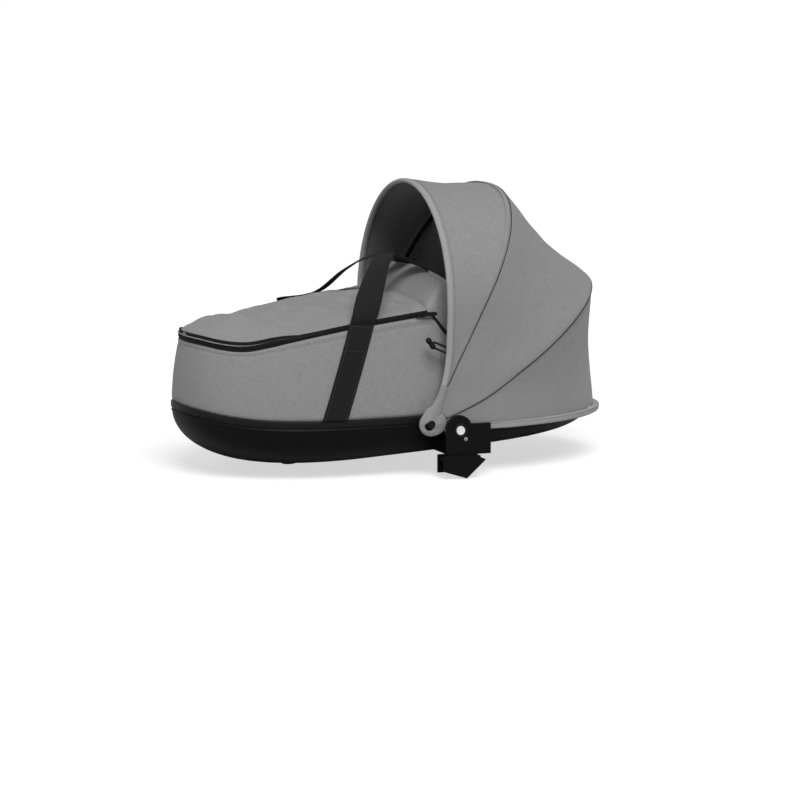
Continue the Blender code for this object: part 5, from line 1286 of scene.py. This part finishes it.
def canopy_panel(name, node, start, end, sag, seed):
    """A cloth ruled between two bows, sagging by sag*(4t(1-t))^2*(1-|share|)^2, with soft ripples."""
    share = np.linspace(-SEWN_SHARE, SEWN_SHARE, 181)
    t = np.linspace(0, 1, 41)
    s, v = share[:, None], t[None, :]
    depth = sag * (4 * v * (1 - v)) ** 2 * (1 - np.abs(s)) ** 2
    first, last = start(s, CLOTH / 2 - depth), end(s, CLOTH / 2 - depth)
    middle = first * (1 - v[..., None]) + last * v[..., None]
    normal = sheet_normals(middle, False)
    sign = np.sign((normal * (middle - np.array(BODY_MIDDLE))).sum(-1).mean())
    calm = (4 * v * (1 - v)) ** 0.8
    soft = ripples(middle, 0.085, seed) * 0.0012 + ripples(middle, 0.035, seed + 1, (1, 1, 0.4)) * 0.0004
    middle = middle + normal * sign * (soft * calm)[..., None]
    if sign < 0:
        middle, t = middle[:, ::-1], t[::-1]
    edge = 3
    columns = np.repeat((0, 1, 0), (len(t) + edge, len(t), edge))
    looks = [finish("shell_cloth"), finish("lining_cloth")]
    panel = swept(name, skins(middle, CLOTH * 0.8, turns=edge), looks, caps="skins", columns=columns)
    blended(panel)
    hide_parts(node)


def laid_on(line, outward, cloths, proud):
    """The line laid on the nearest of the cloths, sought from just outside, then smoothed along itself."""
    trees = []
    for cloth in cloths:
        places = [vertex.co - Vector((0, 0, WAIST_OVER_SEAT)) for vertex in cloth.data.vertices]
        faces = [tuple(face.vertices) for face in cloth.data.polygons]
        trees.append(BVHTree.FromPolygons(places, faces))
    laid = []
    for place, way in zip(line + outward * SEAM_SEARCH, outward):
        found = [tree.find_nearest(Vector(place), 2 * SEAM_SEARCH) for tree in trees]
        found = [(hit[3], hit[0]) for hit in found if hit[0] is not None]
        nearest = min(found, key=lambda hit: hit[0])[1] if found else place - way * SEAM_SEARCH
        laid.append(np.array(nearest) + way * proud)
    moved = np.array(laid) - line
    window = np.ones(5) / 5
    moved = [np.convolve(np.pad(column, 2, mode="edge"), window, mode="valid") for column in moved.T]
    return line + np.stack(moved, 1)


class CARRYCOT_OT_canopy(bpy.types.Operator):
    """Canopy cloth in three panels, the sleeves over the bows, the rolled hem and their stitching"""

    bl_idname = "carrycot.canopy"
    bl_label = "Canopy cloth"

    def execute(self, context):
        size = sizes()
        for name, start, end, sag, bodies, flat, area, seed in (
                ("visor", cloth_edge("front"), cloth_edge("mid"), size.sag_visor,
                 ("canopy_front", "canopy_mid"), (1.02, 0.12), 0.082, 21),
                ("top", cloth_edge("mid"), cloth_edge("rear"), size.sag_top,
                 ("canopy_mid", "canopy_rear"), (1.02, 0.21), 0.148, 31),
                ("rear", cloth_edge("rear"), hem_edge, size.sag_rear,
                 ("canopy_rear", "carrycot"), (0.95, 0.19), 0.116, 41)):
            canopy_panel(f"{name}_cloth", f"canopy_{name}_panel", start, end, sag, seed)
        for name in SLEEVES:
            self.sleeve(name)
        self.hem()
        return {"FINISHED"}

    def sleeve(self, name):
        """Cloth drawn over a bow: a low oval ridge that narrows to the hub, with a dark cord as painted
        shadow in its seam, and stitches.

        The front one is tight and closed. The others are cut off flat inside, where they show the lining."""
        share = np.linspace(-SEWN_SHARE, SEWN_SHARE, 241)
        wide, high, settle, ahead, reach = SLEEVES[name]
        line = cloth_edge(name)(share, CLOTH / 2)
        outward = bow_outward(name, share)
        over = unit(np.cross(unit(np.gradient(line, axis=0)), outward))
        aft = over * np.sign((over * (1, 0, -0.3)).sum(1, keepdims=True))
        off_hub = smooth((1 - np.abs(share)) / 0.3)[:, None]
        profile = oval_profile(high, wide, 48, 2.0)
        under = profile[:, 0] < -0.0002
        if name != "front":
            profile[:, 0] = np.maximum(profile[:, 0], -SLEEVE_INSIDE)
        columns = (under & np.roll(under, -1) & (name != "front")).astype(int)
        sections = carried(line - outward * settle - aft * ahead * off_hub, outward, profile)
        if name != "front":
            sections = drawn_in(sections, SLEEVE_END_SHARE + (1 - SLEEVE_END_SHARE) * off_hub)
        # The front sleeve is drawn lighter as painted highlight along the canopy's front edge
        look = "edge_cloth lining_cloth" if name == "front" else "shell_cloth lining_cloth"
        body = f"canopy_{name}"
        sleeve = piece(f"{name}_bow_sleeve", sections, look, body, "grey_fabric", columns=columns)
        cloths = [bpy.data.objects[f"{panel}_cloth"] for panel in ("visor", "top", "rear")] + [sleeve]
        if name == "front":
            row = laid_on(line + aft * (wide / 2 + STITCH_OFF_SLEEVE), outward, cloths, SEAM_PROUD)
        else:
            drawn = MID_SEAM_DRAW * (1 - off_hub) if name == "mid" else 0
            line = line + aft * (reach * off_hub - drawn)
            # A dark cord along the seam: painted shadow in the seam's groove
            seam = carried(laid_on(line, outward, cloths, SEAM_PROUD), outward, oval_profile(*SEAM_SHADOW_CORD, 8))
            piece(f"{name}_bow_seam", seam, "black_thread_and_seam_shadow", body, "grey_fabric")
            row = laid_on(line - aft * STITCH_OFF_SEAM, outward, cloths, STITCH_PROUD)
        stitched(f"{name}_bow_stitches", [(row, outward)], "grey_thread", body, sizes().stitch_pitch)

    def hem(self):
        """Rolled hem: a superellipse between the hem's inner and outer lines, fuller round the head end."""
        share = np.linspace(-1, 1, 241)
        reach = WAIST[2] + BAND_PROUD + GAP
        outer = hem_place(share, CLOTH_OFF_HUB + CLOTH, reach + CLOTH + HEM_DEPTHS[1], 0)
        inner = hem_place(share, CLOTH_OFF_HUB + CLOTH - HEM_DEPTHS[0], reach, 0)
        shape = oval_profile(2.0, 2.0, 28, 2.8)
        across = (1 + shape[None, :, :1]) / 2
        sections = inner[:, None] * (1 - across) + outer[:, None] * across
        swell = 1 + 0.05 * ripples(outer, 0.05, 61)
        sections[..., 2] = HEM_TOP_Z - HEM_HEIGHT / 2 + shape[None, :, 1] * HEM_HEIGHT / 2 * swell[:, None]
        # The hem roll is drawn lighter as painted highlight
        piece("canopy_hem_roll", sections, "edge_cloth", "carrycot", "grey_fabric", "canopy_hem")
        out = unit(outer - inner)
        line = outer + out * 0.0001 + (0, 0, HEM_TOP_Z - HEM_STITCH_DROP)
        stitched("hem_stitches", [(line[6:-6], out[6:-6])], "grey_thread", "carrycot", sizes().stitch_pitch)


class CARRYCOT_OT_hubs(bpy.types.Operator):
    """Cloth boots over the hubs, with the head of the pin in a dimple"""

    bl_idname = "carrycot.hubs"
    bl_label = "Canopy hubs"

    def execute(self, context):
        for side_name, side in SIDES:
            self.boot(side_name, side)
            self.cuff(side_name, side)
            for name, node, rounding in (("hub_pin", "canopy_pin", PIN_ROUNDING),
                                         ("hub_plate", "canopy_hub_plate", PLATE_ROUNDING)):
                rounded_copy(f"{name}_{side_name}", f"{node}_{side_name}", "hard_moulding",
                             rounding)
        return {"FINISHED"}

    def boot(self, side_name, side):
        """A boot ruled from its oval mouth to a bulging outline, domed over the hub, its edge rolled in."""
        turn = np.linspace(0, 2 * math.pi, 120, endpoint=False)
        degrees = (np.degrees(turn) + 180) % 360 - 180
        ring = np.linspace(0, 1, 30)[:, None]
        hub = np.array((HUB_X, HUB_Z))
        way = np.stack([np.cos(turn), np.sin(turn)], 1)
        reach = BOOT_REACH + sum(bulge * bell(degrees, middle, width) for bulge, middle, width in BOOT_BULGES)
        mouth = BOOT_MOUTH / np.sqrt(np.cos(turn + 0.5) ** 2 + (np.sin(turn + 0.5) * 1.35) ** 2)
        free = 0.5 - 0.5 * np.cos(np.radians(degrees - 45))
        rim = hub + reach[:, None] * way
        hole = hub + BOOT_MOUTH_OFFSET + mouth[:, None] * way
        place = hole[None] * (1 - ring[..., None]) + rim[None] * ring[..., None]
        from_hub = np.linalg.norm(place - hub, axis=2)
        roll = np.maximum(0, 1 - ring ** (2 + 7 * free)[None, :]) ** 0.5
        lip = -BOOT_LIP * bell(ring, 0, 0.07)
        folds = BOOT_FOLD * np.sin(5 * turn + 0.9)[None, :] * np.sin(math.pi * ring)
        dome = BOOT_DOME[0] + BOOT_DOME[1] * bell(from_hub, 0, BOOT_DOME[2])
        height = BOOT_FACE + BOOT_FREE_LIFT * free + dome * roll + lip + folds
        front = np.concatenate([place, height[..., None]], 2)
        back = np.concatenate([place[::-1], np.full_like(height, BOOT_BACK)[..., None]], 2)
        sections = np.concatenate([front, back])[..., [0, 2, 1]] * (1, side, 1)
        piece(f"cloth_boot_{side_name}", sections.transpose(1, 0, 2), "shell_cloth", "carrycot",
              "grey_fabric", f"canopy_boot_{side_name}", closed=True)

    def cuff(self, side_name, side):
        """A flattened oval along the front bow's leg, wide at the hub and narrowing upwards."""
        up = np.linspace(*CUFF_SHARES, 40)
        share = side * (1 - up)
        narrow = smooth(up / 0.13)[:, None, None]
        outward = bow_outward("front", share)
        line = cloth_edge("front")(share, CLOTH / 2) - outward * CUFF_SINK
        sections = carried(line, outward, oval_profile(1, 1, 32, 2.2))
        middle = sections.mean(1, keepdims=True)
        out = outward[:, None]
        offset = sections - middle
        high = (offset * out).sum(-1, keepdims=True) * out
        sections = (middle + high * (CUFF_HEIGHTS[0] - CUFF_HEIGHTS[1] * narrow)
                    + (offset - high) * (CUFF_WIDTHS[0] + CUFF_WIDTHS[1] * (1 - narrow)))
        piece(f"bow_cuff_{side_name}", sections, "shell_cloth", "canopy_front", "grey_fabric")


def rounded_half_width(x, size):
    """Half width of the rounded plan at places along the body."""
    foot, half, head = size
    low = np.clip((FOOT_CENTRE_X - x) / foot, 0, 1)
    high = np.clip((x - HEAD_CENTRE_X) / head, 0, 1)
    return half * ((1 - low**FOOT_SQUARENESS) ** (1 / FOOT_SQUARENESS)) * (
        (1 - high**HEAD_SQUARENESS) ** (1 / HEAD_SQUARENESS))


def handle_line(x):
    """Height of the straight line through both leg tops of a handle."""
    foot, head = rim_height(STRAP_FEET[0][2]), rim_height(STRAP_FEET[1][2])
    return foot + (head - foot) * (x - STRAP_FEET[0][2]) / (STRAP_FEET[1][2] - STRAP_FEET[0][2])


def strap_wall_point(x, level, offset):
    """A point on the wall's outside under a strap, on the left side."""
    puff = WALL_PUFF * 4 * level * (1 - level)
    size = tuple(low + (high - low) * level + puff + offset for low, high in zip(WAIST, RIM))
    z = waist_height(x) + (handle_line(x) - waist_height(x)) * level
    return np.stack(np.broadcast_arrays(x, rounded_half_width(x, size), z), -1)


class CARRYCOT_OT_mattress(bpy.types.Operator):
    """Foam mattress: crowned, drawn in along its side seam and sewn across in channels"""

    bl_idname = "carrycot.mattress"
    bl_label = "Mattress"

    def execute(self, context):
        size = tuple(reach - inset - MATTRESS_INSET for reach, inset in zip(WAIST, BASE_INSETS))
        low, high = FOOT_CENTRE_X - size[0], HEAD_CENTRE_X + size[2]
        share = (1 - np.cos(np.linspace(0.035, math.pi - 0.035, 150))) / 2
        x = (low + (high - low) * share)[:, None]
        half = np.maximum(rounded_half_width(x, size), 0.004)
        turn = full_turn(96)[None, :]
        across = np.sign(np.cos(turn)) * np.abs(np.cos(turn)) ** 0.62
        up = np.sign(np.sin(turn)) * np.abs(np.sin(turn)) ** 0.75
        fill = np.minimum(1, half / half.max())
        groove = bell(((x - low) / CHANNEL_PITCH + 0.5) % 1, 0.5, CHANNEL_WIDTH)
        crown = MATTRESS_TOP + (MATTRESS_CROWN - CHANNEL_DEPTH * groove) * (1 - across ** 2)
        tall = np.where(up > 0, crown, MATTRESS_UNDER)
        seam_depth, seam_width = SIDE_SEAM
        y = across * half * (1 - seam_depth * bell(up, 0, seam_width))
        z = underside(x) + MATTRESS_MIDDLE + up * tall * (0.6 + 0.4 * fill)
        z = np.maximum(z, underside(x) + MATTRESS_BOTTOM)
        pad = piece("foam_mattress", np.stack(np.broadcast_arrays(x, y, z), -1), "mattress_cloth", "carrycot",
                    "mattress_cloth", "mattress")
        return {"FINISHED"}


class CARRYCOT_OT_handles(bpy.types.Operator):
    """Webbing handles: four sewn legs up the wall, two free loops and the rows of stitches that hold them"""

    bl_idname = "carrycot.handles"
    bl_label = "Webbing handles"

    def execute(self, context):
        width = np.linspace(-STRAP_WIDTH / 2, STRAP_WIDTH / 2, 13)
        for side_name, side in SIDES:
            loop = self.loop(side_name, width) * (1, side, 1)
            piece(f"loop_webbing_{side_name}", skins(loop, STRAP_THICKNESS, turns=3), "webbing",
                  f"handle_{side_name}", "black_webbing", f"handle_loop_{side_name}", caps="skins")
            rows = []
            for end, base_x, rim_x in STRAP_FEET:
                level = np.linspace(0, 1, 40)[:, None]
                x = base_x + (rim_x - base_x) * level + width[None, :]
                leg = strap_wall_point(x, level, STRAP_STANDOFF + STRAP_THICKNESS / 2) * (1, side, 1)
                piece(f"leg_webbing_{end}_{side_name}", skins(leg, STRAP_THICKNESS, turns=3), "webbing",
                      "carrycot", "black_webbing", f"strap_leg_{end}_{side_name}", caps="skins")
                rows += self.sewing(leg, side)
            stitched(f"handle_stitches_{side_name}", rows, "black_thread_and_seam_shadow", "carrycot", *STRAP_STITCH)
        return {"FINISHED"}

    def loop(self, side_name, width):
        """A loop's middle surface: the webbing turns half round on its way from one leg to the other."""
        ends = []
        for (_, _, rim_x), lean in zip(STRAP_FEET, STRAP_LEANS):
            foot = strap_wall_point(np.array(rim_x), 1.0, STRAP_STANDOFF + STRAP_THICKNESS / 2) + (0, 0, GAP)
            rise = STRAP_RISES[side_name]
            ends.append([foot, foot + (lean * rise, 0, rise)])
        path = catmull([*ends[0], *STRAP_PATHS[side_name], *ends[1][::-1]], 14)
        run = np.concatenate([[0], np.cumsum(np.linalg.norm(np.diff(path, axis=0), axis=1))])
        share = run / run[-1]
        twist = np.interp(share, *STRAP_TWISTS[side_name])
        for _ in range(30):
            twist[1:-1] = (twist[:-2] + 2 * twist[1:-1] + twist[2:]) / 4
        slope = (handle_line(0.01) - handle_line(0.0)) / 0.01
        turn = np.radians(twist)[:, None]
        wish = np.cos(turn) * unit(np.array([1, 0, slope])) + np.sin(turn) * np.array([0.0, 1.0, 0.0])
        along = unit(np.gradient(path, axis=0))
        square = smooth(np.minimum(share, 1 - share) / 0.10)[:, None]
        across = unit(wish - along * (wish * along).sum(1, keepdims=True) * square)
        cup = (1 - (2 * width / STRAP_WIDTH) ** 2) * STRAP_CUP
        bent = np.sin(math.pi * share)[:, None] ** 2
        return path[:, None] + across[:, None] * width[None, :, None] + (
            np.cross(along, across)[:, None] * (cup[None, :] * bent)[..., None])

    def sewing(self, leg, side):
        """Rows of stitches: a box near the leg's top and one row along each edge."""
        normal = sheet_normals(leg, False)
        normal = normal * np.sign((normal[..., 1] * side).mean())
        lifted = leg + normal * (STRAP_THICKNESS / 2 + 0.0002)
        rows = [(lifted[:, k], normal[:, k]) for k in (1, 11)]
        rows += [(lifted[k, 1:12], normal[k, 1:12]) for k in (28, 38)]
        return rows


class CARRYCOT_OT_adaptors(bpy.types.Operator):
    """Docks, lift-off adaptors with their saddles, release buttons and small lenses"""

    bl_idname = "carrycot.adaptors"
    bl_label = "Adaptors"

    def execute(self, context):
        for side_name, side in SIDES:
            for name, node, rounding in ADAPTOR_SHELLS:
                rounded_copy(f"{name}_{side_name}", f"{node}_{side_name}", "moulding",
                             rounding)
            body = f"adaptor_{side_name}"
            outline = COLLAR_OUTLINE + np.array((0, EAR_FACE))
            piece(f"button_collar_{side_name}", turned(outline, BUTTON, side), "hard_moulding", body,
                  "black_moulding", closed=True)
            outline = np.concatenate([BUTTON_OUTLINE + np.array((0, EAR_FACE + BUTTON_PROUD)),
                                      BUTTON_FLANGE + np.array((0, EAR_FACE - BUTTON_DEPTH))])
            piece(f"button_cap_{side_name}", turned(outline, BUTTON, side).transpose(1, 0, 2), "button",
                  f"button_{side_name}", "white_button", f"release_button_{side_name}")
            outline = LAMP_OUTLINE + np.array((0, EAR_FACE + LAMP_PROUD))
            piece(f"lamp_lens_{side_name}", turned(outline, LAMP, side).transpose(1, 0, 2), "lamp", body,
                  "grey_lamp", f"adaptor_lamp_{side_name}")
            self.spring(side_name, side)
        return {"FINISHED"}

    def spring(self, side_name, side):
        """The CAD spring's own shape, copied in drawn wire."""
        source = frame["nodes"][f"button_spring_{side_name}"]
        data = source.data.copy()
        data.materials.clear()
        data.materials.append(finish("wire"))
        made = bpy.data.objects.new(f"button_spring_wire_{side_name}", data)
        bpy.context.scene.collection.objects.link(made)
        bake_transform(made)
        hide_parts(source.name)


class CARRYCOT_OT_toggles(bpy.types.Operator):
    """Toggles on loops of elastic cord at the front bow"""

    bl_idname = "carrycot.toggles"
    bl_label = "Toggles"

    def execute(self, context):
        tilt, drop = math.radians(TOGGLE_TILT), math.radians(TOGGLE_DROP)
        half_length, thick, waist = TOGGLE_BAR
        centre = np.array(TOGGLE)
        axis = np.array((math.sin(tilt), 0, -math.cos(tilt)))
        aside = np.array((math.cos(tilt), 0, math.sin(tilt)))
        along = np.sin(np.linspace(-math.pi / 2, math.pi / 2, 40)) * 0.995
        radius = thick * np.maximum(0.02, 1 - np.abs(along) ** 5) ** 0.5 - waist * bell(along, 0, 0.22)
        turn = full_turn(28)[:, None]
        ring = np.cos(turn) * aside + np.sin(turn) * np.array((0.0, 1.0, 0.0))
        bar = centre + (axis * along[:, None] * half_length)[:, None] + ring[None] * radius[:, None, None]
        ahead = np.array((math.cos(drop), 0, -math.sin(drop)))
        upward = np.array((math.sin(drop), 0, math.cos(drop)))
        bend = math.pi * (1.5 - np.linspace(0, 1, 15))[:, None]
        bow = np.cos(bend) * ahead + np.sin(bend) * upward
        loop = centre + TOGGLE_LOOP[0] * ahead + TOGGLE_LOOP[1] * bow
        path = [[loop[0] + TOGGLE_STRANDS[0] * ahead], loop, [loop[-1] + TOGGLE_STRANDS[1] * ahead]]
        path = resampled(np.concatenate(path), 0.0012)
        cord = carried(path, np.tile((0.0, 1.0, 0.0), (len(path), 1)), oval_profile(*TOGGLE_CORD, 14, 2.4))
        for side_name, side in SIDES:
            for name, sections, look, node in (("toggle_bar", bar, "hard_moulding", "toggle"),
                                               ("toggle_elastic", cord, "webbing", "toggle_loop")):
                piece(f"{name}_{side_name}", sections * (1, side, 1), look, "canopy_front", "black_trim",
                      f"{node}_{side_name}")
        return {"FINISHED"}


class CARRYCOT_OT_hidden(bpy.types.Operator):
    """Finishes of the hoop and the board, which keep their shapes"""

    bl_idname = "carrycot.hidden"
    bl_label = "Hoop and board"

    def execute(self, context):
        for node, name, slot in (("rim_hoop", "wire", "steel"), ("base_board", "board", "board")):
            held = frame["nodes"][node]
            held.data.materials.clear()
            held.data.materials.append(finish(name))
        return {"FINISHED"}


class CARRYCOT_OT_stage(bpy.types.Operator):
    """Floor, soft lamps, white surroundings and the camera at the photograph's angle"""

    bl_idname = "carrycot.stage"
    bl_label = "Stage"

    def execute(self, context):
        stage = context.scene.carrycot_stage
        self.floor(stage)
        self.world()
        self.lamps(stage)
        self.camera(stage)
        context.scene.view_settings.view_transform = "Standard"
        return {"FINISHED"}

    def floor(self, stage):
        """A round floor just under the adaptors' shoes. Its glow to the camera makes its lit part white."""
        turn = full_turn(96)
        radius = np.array([0.02, 1.0, 4.0, 12.0])[:, None]
        rings = np.stack([radius * np.cos(turn), radius * np.sin(turn), np.full((4, 96), FLOOR_HEIGHT)], -1)
        low = rings[::-1] - (0, 0, 0.01)
        material, tree, shader = plain("painted_floor", stage.floor_colour, 0.9)
        body = add_node(tree, "ShaderNodeTexCoord").outputs["Object"]
        cloud = add_node(tree, "ShaderNodeTexNoise", {"Vector": body, "Scale": 3.0, "Detail": 4.0}).outputs[0]
        tinted(tree, shader, stage.floor_colour, cloud, 0.01)
        seen = add_node(tree, "ShaderNodeLightPath").outputs["Is Camera Ray"]
        glow = add_node(tree, "ShaderNodeMath", {0: seen, 1: FLOOR_LIFT}, operation="MULTIPLY").outputs[0]
        shader.inputs["Emission Color"].default_value = (1, 1, 1, 1)
        tree.links.new(glow, shader.inputs["Emission Strength"])
        floor = swept("floor", np.concatenate([rings, low]), [material], lift=0)
        floor.data.set_sharp_from_angle(angle=math.radians(30))

    def world(self):
        """White to the camera, a share of that in reflections, and a low even light on everything else."""
        world = bpy.data.worlds.new("studio")
        bpy.context.scene.world = world
        world.use_nodes = True
        tree = world.node_tree
        rays = add_node(tree, "ShaderNodeLightPath").outputs
        seen = add_node(tree, "ShaderNodeMath", {0: rays["Is Glossy Ray"], 1: MIRRORED_SHARE},
                        operation="MULTIPLY").outputs[0]
        seen = add_node(tree, "ShaderNodeMath", {0: rays["Is Camera Ray"], 1: seen},
                        operation="MAXIMUM").outputs[0]
        seen = add_node(tree, "ShaderNodeMath", {0: seen, 1: rays["Is Transmission Ray"]},
                        operation="MAXIMUM").outputs[0]
        level = add_node(tree, "ShaderNodeMapRange", {"Value": seen, "To Min": WORLD_LEVEL}).outputs[0]
        back = tree.nodes["Background"]
        back.inputs["Color"].default_value = (1, 1, 1, 1)
        tree.links.new(level, back.inputs["Strength"])

    def lamps(self, stage):
        """Two far, broad lamps: a key from the camera's side and above, a weaker fill from the foot end."""
        for (name, place, spread), power in zip(LAMPS, (stage.key_power, stage.fill_power)):
            lamp = bpy.data.lights.new(name, "SUN")
            lamp.energy = power
            lamp.angle = math.radians(spread)
            held = bpy.data.objects.new(name, lamp)
            bpy.context.scene.collection.objects.link(held)
            held.location = place
            held.rotation_euler = (-Vector(place)).to_track_quat("-Z", "Y").to_euler()

    def camera(self, stage):
        """Camera 22 degrees round from the side towards the foot end and 8.5 degrees above the level."""
        turn, rise = math.radians(CAMERA_TURN), math.radians(CAMERA_RISE)
        back = Vector((math.sin(turn) * math.cos(rise), -math.cos(turn) * math.cos(rise), math.sin(rise)))
        camera = bpy.data.objects.new("camera", bpy.data.cameras.new("camera"))
        bpy.context.scene.collection.objects.link(camera)
        camera.data.lens = stage.lens
        camera.data.sensor_width = 36
        camera.data.clip_end = 100
        camera.location = Vector((CAMERA_AIM_X, 0, WAIST_OVER_SEAT)) + back * stage.distance
        camera.rotation_euler = (-back).to_track_quat("-Z", "Y").to_euler()
        bpy.context.scene.camera = camera


class CARRYCOT_PT_panel(bpy.types.Panel):
    """Sizes, finishes and the steps that build the carrycot"""

    bl_idname = "CARRYCOT_PT_panel"
    bl_label = "Carrycot"
    bl_space_type = "VIEW_3D"
    bl_region_type = "UI"
    bl_category = "Carrycot"

    def draw(self, context):
        for title, _ in GROUPS:
            group = getattr(context.scene, title)
            box = self.layout.box()
            for name in group.bl_rna.properties.keys():
                if name not in ("rna_type", "name"):
                    box.prop(group, name)
        for step in STEPS:
            self.layout.operator(step.bl_idname)


STEPS = (
    CARRYCOT_OT_tray, CARRYCOT_OT_wall, CARRYCOT_OT_zip, CARRYCOT_OT_apron, CARRYCOT_OT_flap,
    CARRYCOT_OT_bows, CARRYCOT_OT_canopy, CARRYCOT_OT_hubs, CARRYCOT_OT_mattress, CARRYCOT_OT_handles,
    CARRYCOT_OT_adaptors, CARRYCOT_OT_toggles, CARRYCOT_OT_hidden, CARRYCOT_OT_stage,
)
GROUPS = (("carrycot_finish", CarrycotFinish), ("carrycot_sizes", CarrycotSizes),
          ("carrycot_stage", CarrycotStage))


def register():
    """Registers the property groups, the operators and the panel."""
    for name, group in GROUPS:
        bpy.utils.register_class(group)
        setattr(bpy.types.Scene, name, PointerProperty(type=group))
    for step in (*STEPS, CARRYCOT_PT_panel):
        bpy.utils.register_class(step)


def unregister():
    """Takes the classes out again."""
    for step in (CARRYCOT_PT_panel, *reversed(STEPS)):
        bpy.utils.unregister_class(step)
    for name, group in reversed(GROUPS):
        delattr(bpy.types.Scene, name)
        bpy.utils.unregister_class(group)


def main():
    """Builds every piece."""
    register()
    bpy.ops.carrycot.tray()
    bpy.ops.carrycot.wall()
    bpy.ops.carrycot.zip()
    bpy.ops.carrycot.apron()
    bpy.ops.carrycot.flap()
    bpy.ops.carrycot.bows()
    bpy.ops.carrycot.canopy()
    bpy.ops.carrycot.hubs()
    bpy.ops.carrycot.mattress()
    bpy.ops.carrycot.handles()
    bpy.ops.carrycot.adaptors()
    bpy.ops.carrycot.toggles()
    bpy.ops.carrycot.hidden()
    bpy.ops.carrycot.stage()


if __name__ == "__main__":
    main()
